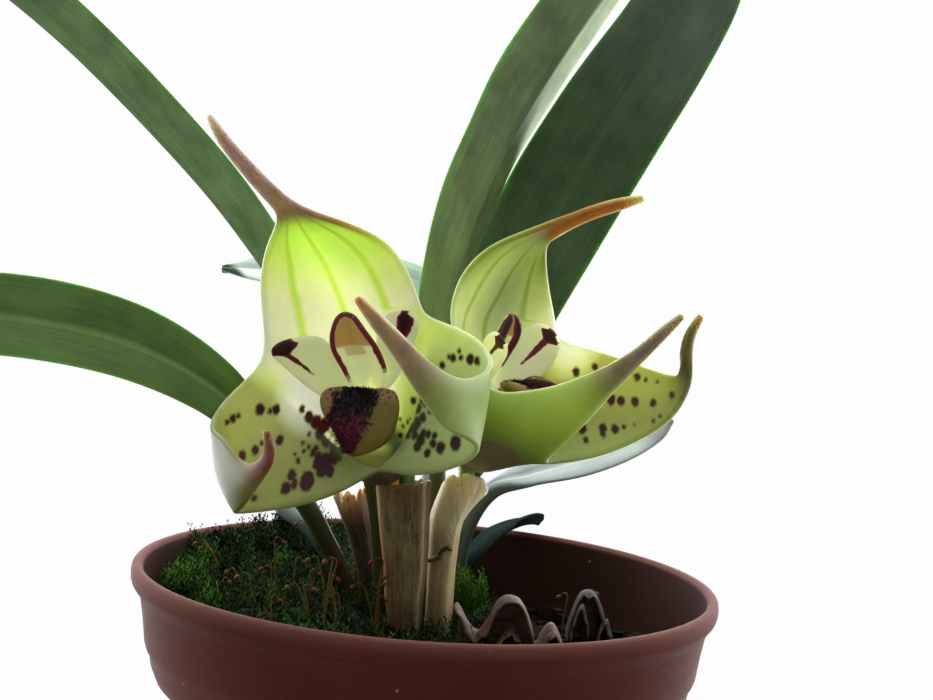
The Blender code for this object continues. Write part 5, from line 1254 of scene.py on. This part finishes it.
# The stalk of each bloom: a thin green stem from the mix, that swells into the ridged ovary under
# the cup.
FRONT_STALK = [(-3.2, -2.2, 70.6, 1.3), (-3.4, -2.4, 88, 1.3), (-4.2, -2.9, 103, 1.3),
               (-4.8, -2.4, 108.6, 1.5),
               (-5.6, 0.8, 112.3, 2.0), (-7.6, 3.2, 115.5, 2.2), (-11.1, -1.5, 119.3, 1.9),
               (-11.6, -3.4, 121.6, 1.5)]
BACK_STALK = [(2.9, 0.8, 70.6, 1.2), (2.7, 0.8, 88, 1.2), (2.6, 0.9, 97, 1.2), (3.4, 1.2, 102.5, 1.2),
              (5.6, 2.0, 108.4, 1.3), (5.6, 5.0, 112.2, 1.9), (3.2, 8.8, 115, 2.2), (4.9, 9.1, 121.3, 1.9),
              (6.0, 7.6, 123.2, 1.5)]
# Living stem: smooth and juicy, a soft gleam and a little light through it.
stem_green, tree, shader, place = new_finish("smooth_green_stem", 0.4, {
    "Subsurface Weight": 0.4, "Subsurface Radius": (0.6, 1.0, 0.2), "Subsurface Scale": 0.001})
cloud = put(tree, "TexNoise", {"Vector": place, "Scale": 160.0, "Detail": 4.0})
tone = put(tree, "Mix", {0: cloud, 6: linear("6b9436"), 7: linear("9cbf5a")})
tree.links.new(tone, shader.inputs["Base Color"])
for name, rows, node in (("front_stalk", FRONT_STALK, "bloom_front_sepals"),
                         ("back_stalk", BACK_STALK, "bloom_back_sepals")):
    points, faces = [], []
    path = smooth_path(rows, 60)
    thread(points, faces, path[:, :3], path[:, 3], sides=24)
    piece(name, points, faces, [stem_green], [node])

# The column of each bloom with its two petals: a small hollow-fronted hood, waxy and pale with
# maroon edges, and a narrow striped petal at each side of it.
FRONT_HOOD = [
    ((1.4, 6.0, 1.4), (3.4, 9.0, 1.8), (6.2, 6.4, 3.2)),
    ((0.2, 5.2, 3.9), (2.7, 8.2, 4.9), (6.3, 5.2, 6.1)),
    ((-1.3, 4.0, 6.7), (1.6, 6.8, 7.4), (5.5, 4.0, 8.4)),
    ((-3.2, 3.0, 9.4), (0.3, 5.4, 10.0), (4.2, 3.0, 10.8)),
    ((-3.5, 2.2, 12.4), (-0.6, 4.4, 12.8), (2.2, 2.2, 12.9)),
    ((-2.5, 1.4, 15.4), (-1.2, 2.6, 15.9), (0.3, 1.4, 15.6)),
]
FRONT_PETALS = [
    [((-1.4, 6.9, -0.2), (0.9, 7.7, 1.0), (2.8, 7.9, 2.2)),
     ((-6.3, 5.0, 2.0), (-4.1, 6.4, 3.5), (-1.1, 6.0, 5.2)),
     ((-8.9, 1.9, 4.5), (-6.2, 4.0, 6.3), (-2.6, 4.2, 8.0)),
     ((-10.9, -0.8, 6.6), (-8.2, 2.0, 8.2), (-3.8, 2.8, 10.2)),
     ((-12.9, -3.8, 8.4), (-9.9, -1.2, 9.6), (-5.4, 1.6, 11.4)),
     ((-12.3, -3.6, 9.9), (-9.6, -1.4, 11.0), (-7.0, 0.4, 11.4))],
    [((2.8, 7.8, 1.6), (4.4, 8.0, 2.2), (6.4, 7.6, 2.6)),
     ((3.9, 6.6, 5.5), (5.9, 7.0, 5.8), (8.6, 6.4, 6.1)),
     ((4.2, 5.4, 8.7), (6.8, 5.6, 8.9), (9.9, 4.4, 9.2)),
     ((4.6, 4.2, 12.0), (7.6, 3.8, 12.4), (11.0, 2.2, 12.7)),
     ((5.1, 2.6, 14.9), (7.8, 1.5, 15.6), (11.5, -0.1, 15.4)),
     ((6.1, 2.1, 16.2), (8.1, 1.1, 16.9), (10.3, 0.0, 16.9))],
]
BACK_HOOD = [
    ((-3.7, 0.8, 2.0), (-4.0, 3.0, 2.2), (-1.5, 3.4, 2.0)),
    ((-3.2, -0.8, 4.8), (-3.9, 2.2, 5.2), (-0.2, 3.0, 4.9)),
    ((-1.7, -1.8, 7.5), (-3.3, 1.6, 7.8), (1.2, 2.4, 7.6)),
    ((-0.5, -2.4, 10.2), (-2.3, 1.2, 10.6), (2.6, 1.8, 10.3)),
    ((0.4, -1.6, 12.5), (-1.1, 0.9, 12.7), (2.5, 1.1, 12.6)),
    ((1.2, -0.8, 13.9), (0.2, 0.6, 14.3), (1.9, 0.5, 14.0)),
]
BACK_PETALS = [
    [((-2.1, 3.5, 3.4), (-1.0, 3.2, 1.9), (0.5, 3.4, 0.2)),
     ((-0.4, 4.6, 6.1), (1.9, 3.8, 4.0), (4.4, 4.2, 1.6)),
     ((1.4, 5.0, 8.7), (4.0, 4.4, 6.4), (7.2, 4.8, 3.2)),
     ((3.1, 5.2, 11.0), (5.8, 4.8, 8.9), (9.3, 5.0, 6.1)),
     ((5.5, 5.0, 12.7), (7.9, 4.7, 11.2), (10.2, 4.6, 8.7)),
     ((6.7, 4.6, 12.8), (8.5, 4.4, 12.0), (10.0, 4.2, 10.5))],
    [((-4.4, 1.4, 3.4), (-3.8, 1.6, 2.0), (-2.8, 1.7, 1.0)),
     ((-4.8, -1.8, 5.6), (-4.0, -1.4, 3.6), (-2.6, -1.4, 1.8)),
     ((-4.2, -4.2, 8.0), (-3.2, -3.8, 6.0), (-1.6, -4.0, 4.0)),
     ((-3.6, -6.4, 10.2), (-2.2, -6.2, 8.0), (-0.6, -6.8, 6.0)),
     ((-2.4, -8.2, 11.2), (-1.2, -8.4, 9.4), (0.2, -8.8, 7.8)),
     ((-1.8, -8.8, 11.2), (-0.9, -9.0, 10.2), (-0.2, -9.2, 9.2))],
]


def strip(name, rows, origin, thickness, finish, node, toward, levels=4):
    """A blade of rows of three or five points, smoothed. Run goes from 0 at its foot to 1 at its
    tip, and left from 0 on its left margin to 1 on its right one."""
    wide = len(rows[0])
    points, faces, marks = [], [], {"run": [], "left": []}
    for r, row in enumerate(rows):
        for k, p in enumerate(row):
            points.append(np.asarray(p, float) + np.asarray(origin, float))
            marks["run"].append(r / (len(rows) - 1))
            marks["left"].append(k / (wide - 1))
            if r and k:
                near, far = (r - 1) * wide + k - 1, r * wide + k - 1
                faces.append((near, near + 1, far + 1, far))
    thick = [thickness] * len(points)
    return grown_sheet(name, points, faces, levels, marks, thick, [finish], [node], toward)


def add_mark(made, mark, values):
    """Gives a piece a further mark."""
    found = made.data.attributes.new(mark, "FLOAT", "POINT")
    found.data.foreach_set("value", np.asarray(values, np.float32))


# Waxy white-green flesh. A faint painted glow, light of its own in the flesh colour, stands in for the
# daylight carried from the open top of the bloom down through the whole blade, beyond what light scattered in
# a thin solid gives. The mark maroon is above 0 inside a dark marking, in shares of the blade's width; ochre
# and pane are the anther cap in the column's tip and its pale lower edge.
waxy, tree, shader, place = new_finish("waxy_petal_flesh", 0.32, {
    "IOR": 1.42, "Subsurface Weight": 1.0, "Subsurface Radius": (1.0, 1.0, 0.6), "Subsurface Scale": 0.003,
    "Emission Strength": 0.26})
maroon, ochre, pane, outer_green = (put(tree, "Attribute", {"attribute_name": mark}, "Fac")
                                    for mark in ("maroon", "ochre", "pane", "outer_green"))
cloud = put(tree, "TexNoise", {"Vector": place, "Scale": 500.0, "Detail": 3.0})
flesh = put(tree, "Mix", {0: cloud, 6: linear("e8f0a8"), 7: linear("f4f8c8")})
for part, colour in ((outer_green, "d4de90"), (ochre, "c09a58"), (pane, "d0c48c")):
    flesh = put(tree, "Mix", {0: part, 6: flesh, 7: linear(colour)})
waver = put(tree, "TexNoise", {"Vector": place, "Scale": 900.0, "Detail": 2.0})
waver = put(tree, "MapRange", {"Value": waver, "From Min": 0.3, "From Max": 0.7, "To Min": -0.015,
                               "To Max": 0.015})
marked = put(tree, "Math", {"operation": "ADD", 0: maroon, 1: waver})
deep = put(tree, "MapRange", {"Value": marked, "From Min": 0.03, "From Max": 0.14})
deep = put(tree, "Mix", {0: deep, 6: linear("6a1a30"), 7: linear("2c0c16")})
edge = put(tree, "MapRange", {"Value": marked, "From Min": -0.012, "From Max": 0.018})
flesh = put(tree, "Mix", {0: edge, 6: flesh, 7: deep})
tree.links.new(flesh, shader.inputs["Base Color"])
# The painted glow: the flesh colour is also given off as light.
tree.links.new(flesh, shader.inputs["Emission Color"])
bump = put(tree, "Bump", {"Strength": 0.15, "Distance": 0.00008, "Height": cloud})
tree.links.new(bump, shader.inputs["Normal"])

# For each blade: its rows, its bloom's throat, how thick it is, the way its inner face looks, and
# the middle and half width of its dark stripe as they change from foot to tip.
BLADES = {
    "front_petal_0": (FRONT_PETALS[0], FRONT_THROAT, 0.8, (0, -1, 0), (0.42, 0.17),
                      ((0.22, -0.1), (0.34, 0.03), (0.72, 0.085), (0.8, 0.3), (0.9, 0.42), (1.0, 0.3))),
    "front_petal_1": (FRONT_PETALS[1], FRONT_THROAT, 0.8, (0, -1, 0), (0.6, 0.72),
                      ((0.3, -0.1), (0.5, 0.08), (0.72, 0.2), (0.9, 0.26), (1.0, 0.16))),
    "back_petal_0": (BACK_PETALS[0], BACK_THROAT, 0.8, (0.3, -1, 0), (0.48, 0.62),
                     ((0.22, -0.1), (0.32, 0.03), (0.74, 0.1), (0.84, 0.36), (0.92, 0.42), (1.0, 0.25))),
    "back_petal_1": (BACK_PETALS[1], BACK_THROAT, 0.8, (0.3, -1, 0), (0.5, 0.5),
                     ((0.3, -0.1), (0.42, 0.04), (0.75, 0.1), (0.88, 0.4), (1.0, 0.4))),
    "front_hood": (FRONT_HOOD, FRONT_THROAT, 1.1, (0, -1, 0), None,
                   ((0.12, -0.1), (0.2, 0.0), (0.36, 0.045), (0.52, 0.055), (0.64, 0.033), (0.9, 0.03),
                    (1.0, 0.035))),
    "back_hood": (BACK_HOOD, BACK_THROAT, 1.1, (0.8, -0.6, 0), None,
                  ((0.12, -0.1), (0.25, 0.1), (0.5, 0.26), (0.85, 0.3), (1.0, 0.2))),
}
for name, (rows, throat, thick, toward, middle, widths) in BLADES.items():
    node = "bloom_front_column" if name.startswith("front") else "bloom_back_column"
    made = strip(name, rows, throat, thick, waxy, node, toward)
    run, left, inner = (read_mark(made, mark) for mark in ("run", "left", "inner"))
    wide = np.interp(run, *zip(*widths))
    if middle:
        dark = wide - np.abs(left - np.interp(run, (0, 1), middle))
        cap, pane = np.zeros(len(run)), np.zeros(len(run))
    else:
        # The back column's left wing is broadly dark, its right one only along the edge.
        far = 0.5 * wide if name == "back_hood" else wide
        dark = np.maximum(wide - left, far - (1 - left))
        dark = np.maximum(dark, 1.5 * (run - 0.985))
        cap = np.clip((run - 0.6) / 0.04, 0, 1) * (inner > 0.6)
        pane = np.clip(np.minimum((0.645 - run) / 0.015, (run - 0.5) / 0.02), 0, 1) * (inner > 0.6)
        pane *= np.clip(np.minimum((0.8 - left) / 0.04, (left - 0.2) / 0.04), 0, 1)
    add_mark(made, "maroon", dark)
    add_mark(made, "ochre", cap)
    add_mark(made, "pane", pane)
    add_mark(made, "outer_green", np.clip(1 - 2 * inner, 0, 1) * (1 - run))
for name, path, node in (
        ("front_column_foot",
         [(-11.8, -4.2, 122.4, 1.5), (-12.2, -5.6, 124.3, 1.5), (-12.6, -8.6, 123.6, 1.0)],
         "bloom_front_column"),
        ("back_column_foot",
         [(6.9, 6.4, 124.6, 1.5), (8.2, 4.6, 126.8, 1.5), (10.0, 3.2, 125.2, 1.0)],
         "bloom_back_column")):
    points, faces = [], []
    path = smooth_path(path, 16)
    thread(points, faces, path[:, :3], path[:, 3], sides=20)
    piece(name, points, faces, [waxy], [node], marks={"maroon": [-1.0] * len(points)})


# The lip of each bloom: a small shield hinged on the column's foot, furry and nearly black in its
# middle and crimson toward its apex, with two upturned side lobes of freckled ochre.
LIP = 1.3
BRISTLES = 1300
LIP_ROWS = [
    ((-2.4, 0.2, 0.4), (-1.2, 0.2, -0.3), (0, 0.2, -0.6), (1.2, 0.2, -0.3), (2.4, 0.2, 0.4)),
    ((-6.2, -0.9, 2.0), (-3.2, -0.5, 1.4), (0, -1.2, -0.2), (3.2, -0.3, 1.8), (6.0, -0.4, 2.6)),
    ((-6.9, -3.2, 1.3), (-3.6, -3.0, 1.2), (0, -3.2, 0.3), (3.6, -3.0, 1.4), (7.0, -3.0, 1.6)),
    ((-5.4, -5.6, 0.3), (-2.9, -5.6, 0.8), (0, -5.6, 0.6), (3.2, -5.8, 0.9), (6.6, -6.0, 0.2)),
    ((-3.2, -8.0, -0.6), (-1.8, -8.2, 0.2), (0, -8.4, 0.4), (2.6, -8.4, 0.0), (5.4, -8.6, -1.2)),
    ((-1.0, -10.4, -1.2), (-0.5, -11.0, -1.0), (0, -11.4, -1.1), (1.0, -11.0, -1.3), (2.2, -10.4, -1.8)),
]
LIPS = {
    "front_lip": ((-13.1, -10.2, 124.4), -14.0, 58.0, (-12.6, -8.6, 123.6), "bloom_front_lip"),
    "back_lip": ((13.2, 1.4, 125.5), 58.0, -5.0, (10.0, 3.2, 125.2), "bloom_back_lip"),
}
# Velvety flesh: warm ochre where it is bare, with a soft gleam, and dark under the fur.
velvet, tree, shader, place = new_finish("velvety_lip", 0.5, {
    "Subsurface Weight": 0.25, "Subsurface Radius": (1.0, 0.5, 0.3), "Subsurface Scale": 0.001})
dark, crimson, olive, dots = (put(tree, "Attribute", {"attribute_name": mark}, "Fac")
                              for mark in ("dark", "crimson", "olive", "dots"))
rough = put(tree, "TexNoise", {"Vector": place, "Scale": 800.0, "Detail": 4.0, "Roughness": 0.7})
tone = put(tree, "Mix", {0: rough, 6: linear("9c7a42"), 7: linear("b8985c")})
tone = put(tree, "Mix", {0: olive, 6: tone, 7: linear("8c7a28")})
# Freckles from a third to half a millimetre across.
freckle = put(tree, "TexNoise", {"Vector": place, "Scale": 1500.0, "Detail": 1.0})
freckle = put(tree, "MapRange", {"Value": freckle, "From Min": 0.52, "From Max": 0.58})
freckle = put(tree, "Math", {"operation": "MULTIPLY", 0: freckle, 1: dots})
tone = put(tree, "Mix", {0: freckle, 6: tone, 7: linear("6a1c30")})
core = put(tree, "Mix", {0: crimson, 6: linear("24141a"), 7: linear("8a1a40")})
jag = put(tree, "TexNoise", {"Vector": place, "Scale": 1000.0, "Detail": 2.0})
jag = put(tree, "MapRange", {"Value": jag, "From Min": 0.3, "From Max": 0.7, "To Min": -0.09, "To Max": 0.09})
jag = put(tree, "Math", {"operation": "ADD", 0: dark, 1: jag})
jag = put(tree, "MapRange", {"Value": jag, "From Min": -0.01, "From Max": 0.02})
tone = put(tree, "Mix", {0: jag, 6: tone, 7: core})
tree.links.new(tone, shader.inputs["Base Color"])
bump = put(tree, "Bump", {"Strength": 0.5, "Distance": 0.0003, "Height": rough})
tree.links.new(bump, shader.inputs["Normal"])

# The fur of the middle is short stiff bristles, which lean outward where the dark patch ends.
bristle, tree, shader, place = new_finish("lip_bristles", 0.6)
red = put(tree, "Attribute", {"attribute_name": "crimson"}, "Fac")
tone = put(tree, "Mix", {0: red, 6: linear("22131a"), 7: linear("5e1530")})
tree.links.new(tone, shader.inputs["Base Color"])

for name, (origin, yaw, pitch, hinge, node) in LIPS.items():
    turn = Matrix.Rotation(math.radians(yaw), 3, "Z") @ Matrix.Rotation(math.radians(pitch), 3, "X")
    rows = [[turn @ Vector(p) for p in row] for row in LIP_ROWS]
    shield = strip(name, rows, origin, LIP, velvet, node, tuple(turn @ Vector((0.0, 0.0, 1.0))))
    run, left, inner = (read_mark(shield, mark) for mark in ("run", "left", "inner"))
    middle = np.interp(run, (0, 0.25, 0.45, 0.6, 0.8, 1), (0.47, 0.46, 0.44, 0.36, 0.26, 0.2))
    wide = np.interp(run, (0, 0.1, 0.35, 0.5, 0.65, 0.85, 1), (0.24, 0.3, 0.29, 0.29, 0.36, 0.4, 0.36))
    dark = np.where(inner > 0.6, wide - np.abs(left - middle), -1.0)
    crimson = np.clip((run - 0.5) / 0.2, 0, 1)
    add_mark(shield, "dark", dark)
    add_mark(shield, "crimson", crimson)
    add_mark(shield, "olive", np.clip((run - 0.3) / 0.12, 0, 1) * np.clip((left - 0.5) / 0.15, 0, 1))
    add_mark(shield, "dots", np.clip((0.42 - run) / 0.08, 0, 1) * (inner > 0.4))
    rng = random.Random(7)
    hair_points, hair_faces, reds = [], [], []
    verts = shield.data.vertices
    able = [i for i in range(len(verts)) if dark[i] > 0.0]
    for _ in range(BRISTLES):
        at = rng.choice(able)
        foot = Vector(verts[at].co) / MM
        aside = turn @ Vector((left[at] - middle[at], -0.25, 0.0)).normalized()
        shy = 0.9 if dark[at] < 0.09 else 0.35
        out = Vector(verts[at].normal) + shy * aside + 0.35 * Vector([rng.uniform(-1, 1) for _ in range(3)])
        long = rng.uniform(0.5, 1.0)
        path = [foot - out.normalized() * 0.15, foot + out.normalized() * long * 0.5,
                foot + (out + 0.25 * aside).normalized() * long]
        thread(hair_points, hair_faces, path, [0.08, 0.06, 0.015], sides=3)
        reds += [crimson[at]] * 9
    piece(name + "_bristles", hair_points, hair_faces, [bristle], [node], marks={"crimson": reds},
          turned=False)
    base = turn @ Vector((0.0, -1.2, -0.5)) + Vector(origin)
    hinge = Vector(hinge)
    toward = (base - hinge).normalized()
    points, faces = [], []
    thread(points, faces, [hinge + 0.85 * toward, 0.5 * (hinge + base), base], [0.8, 1.0, 1.2], sides=16)
    piece(name + "_hinge", points, faces, [velvet], [node], marks={"dark": [-1.0] * len(points)})


# The dead leaves: two thin leaves that dried on the plant, fell, and lie arched and curled on the
# mix. They are brittle brown tissue, torn along the margins, and nothing holds them.
ARCHED = [
    ((5.0, -9.5, 87.8), (5.8, -8, 88.0), (6.4, -6.2, 86.6)),
    ((7.0, -10, 84.4), (7.6, -8, 85.0), (8.2, -5.6, 83.6)),
    ((9.3, -11, 81.8), (9.8, -8, 83.6), (10.2, -5, 82.2)),
    ((11.3, -12, 84.3), (11.7, -8, 87.4), (12, -4.6, 82.4)),
    ((13.2, -12.2, 88.9), (13.4, -8, 90.8), (13.4, -4, 83)),
    ((16.4, -12.4, 89.2), (16.2, -8, 90.7), (16, -3.8, 82.4)),
    ((18.8, -12.2, 85.0), (18.4, -8, 87.2), (18, -4, 81)),
    ((20.1, -12, 79.9), (19.9, -8, 82.4), (19.7, -4.4, 79.4)),
    ((21.2, -11, 81.3), (21.3, -7.5, 85.4), (21.4, -4.4, 81.8)),
    ((23, -10.6, 84), (22.8, -7, 86.2), (22.8, -4.4, 83)),
    ((24.8, -10.2, 80.8), (24.6, -7, 82.8), (24.4, -5, 80.8)),
    ((26, -10, 78.9), (25.8, -7, 79.2), (25.6, -5.2, 79)),
]
UPRIGHT = [
    ((27.2, 6.6, 78.8), (27.0, 9, 79.2), (27.2, 12, 79)),
    ((27.6, 6.8, 82.5), (27.5, 9, 83.2), (27.7, 11.6, 82.6)),
    ((28.9, 7.2, 86.8), (29.0, 9, 88), (29.2, 11, 86.6)),
    ((31.2, 7.6, 87.4), (31.4, 9.4, 88.4), (31.6, 11.2, 87)),
    ((33.2, 7.4, 84), (33.5, 9.4, 85), (33.7, 11.6, 83.8)),
    ((34.4, 7.4, 79.6), (34.7, 9.6, 80.2), (34.9, 11.8, 79.8)),
]

# Smaller folds of the same leaves: one inside the arch, two beside the upright one.
INNER_FOLD = [
    ((12.4, -11.0, 79.0), (12.6, -9, 79.2), (12.8, -7, 79.0)),
    ((13.4, -11.5, 82.0), (13.7, -9, 83.0), (13.9, -6.6, 81.0)),
    ((15.2, -11.2, 83.4), (15.3, -9, 84.8), (15.4, -6.4, 82.2)),
    ((17.0, -11.4, 82.4), (16.9, -9, 83.2), (16.8, -6.6, 80.8)),
    ((17.6, -10.6, 79.0), (17.8, -9, 79.2), (17.8, -7, 79.0)),
]
NEAR_FOLD = [
    ((27.4, 4.6, 78.8), (27.9, 6.6, 79.0), (27.8, 8.2, 78.8)),
    ((27.7, 4.2, 82.6), (28.5, 6.2, 83.8), (28.2, 8.0, 82.8)),
    ((29.0, 5.2, 85.4), (29.5, 6.4, 86.6), (29.3, 7.6, 85.6)),
    ((30.4, 4.4, 82.4), (30.3, 6.2, 83.2), (30.4, 7.8, 82.0)),
    ((30.6, 5.0, 78.8), (31.0, 6.4, 79.0), (31.0, 8.0, 78.8)),
]
FAR_FOLD = [
    ((32.0, 4.0, 78.8), (32.3, 5.6, 79.0), (32.4, 7.2, 78.8)),
    ((32.6, 3.8, 81.0), (32.9, 5.4, 82.2), (32.8, 7.0, 81.2)),
    ((33.6, 4.4, 83.0), (34.0, 5.6, 84.2), (33.8, 6.8, 83.0)),
    ((34.6, 3.6, 80.8), (34.9, 5.2, 81.8), (34.8, 7.0, 80.6)),
    ((35.4, 4.2, 78.8), (35.6, 5.6, 79.0), (35.6, 7.2, 78.8)),
]


def dried(name, light, dark, inside, streaks):
    """Leaf tissue dried brown and thin: streaked lengthwise and pale along its torn margins. Inside the curl,
    where it lies dark in shade, it takes a paler tone, partly its own light tan and partly painted light that
    lifts the shade."""
    made, tree, shader, place = new_finish(name, 0.6, {
        "Subsurface Weight": 0.25, "Subsurface Radius": (1.0, 0.5, 0.3), "Subsurface Scale": 0.0005})
    run, left, inner = (put(tree, "Attribute", {"attribute_name": mark}, "Fac")
                        for mark in ("run", "left", "inner"))
    grid = put(tree, "CombineXYZ", {"X": left, "Y": run})
    # Streaks about half a millimetre wide.
    lines = put(tree, "Mapping", {"Vector": grid, "Scale": (streaks, 2.0, 1.0)})
    lines = put(tree, "TexNoise", {"Vector": lines, "Scale": 1.5, "Detail": 4.0, "Roughness": 0.7})
    cloud = put(tree, "TexNoise", {"Vector": place, "Scale": 300.0, "Detail": 4.0, "Roughness": 0.6})
    mixed = put(tree, "Math", {"operation": "MULTIPLY_ADD", 0: cloud, 1: 0.6, 2: lines})
    mixed = put(tree, "MapRange", {"Value": mixed, "From Min": 0.6, "From Max": 1.0})
    tone = put(tree, "Mix", {0: mixed, 6: linear(dark), 7: linear(light)})
    # The inner face takes the paler inside tone: partly the tissue's own light tan, partly painted light
    # lifting the shade in the curl.
    within = put(tree, "Mix", {0: mixed, 6: linear(dark), 7: linear(inside)})
    tone = put(tree, "Mix", {0: inner, 6: tone, 7: within})
    edge = put(tree, "Math", {"operation": "SUBTRACT", 0: left, 1: 0.5})
    edge = put(tree, "Math", {"operation": "ABSOLUTE", 0: edge})
    edge = put(tree, "MapRange", {"Value": edge, "From Min": 0.47, "From Max": 0.5, "To Max": 0.35})
    tone = put(tree, "Mix", {0: edge, 6: tone, 7: linear(light)})
    tree.links.new(tone, shader.inputs["Base Color"])
    bump = put(tree, "Bump", {"Strength": 0.8, "Distance": 0.0004, "Height": lines})
    tree.links.new(bump, shader.inputs["Normal"])
    return made


DEAD = {
    "dead_leaf": ((ARCHED, INNER_FOLD), "8e6a52", "4c3226", "c8a48c", 13.0),
    "dead_leaf_dark": ((UPRIGHT, NEAR_FOLD, FAR_FOLD), "58504a", "241d19", "8a7c70", 9.0),
}
for name, (curls, *tones) in DEAD.items():
    low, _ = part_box(name)
    tissue = dried(name + "_tissue", *tones)
    for c, rows in enumerate(curls):
        fine = smooth_path([np.ravel(row) for row in rows], 3 * len(rows)).reshape(-1, 3, 3)
        # The far margin hangs to the mix in folds, so that each curl is a dark hood.
        folds = [(row[2][0] + 0.5 * math.sin(1.7 * r), row[2][1] + 1.3 + 0.9 * math.sin(1.1 * r), 78.6)
                 for r, row in enumerate(fine)]
        fine = np.concatenate([fine, np.asarray(folds)[:, None]], axis=1)
        for r, row in enumerate(fine):
            for k in (0, 2):
                row[k] += 0.22 * (row[k] - row[1]) * noise.noise(Vector((r * 0.8, k * 9.0, 1.0)))
                row[k][2] += 1.3 * noise.noise(Vector((r * 0.6, k * 5.0, 4.0 + c)))
                row[k][1] += 1.2 * noise.noise(Vector((r * 0.7, k * 3.0, 8.0 + c)))
        strip(name + "_curl_" + str(c), fine, (0.0, 0.0, low.z / MM - 78.35), 0.4, tissue,
              name, (0.0, 0.0, -1.0), levels=3)
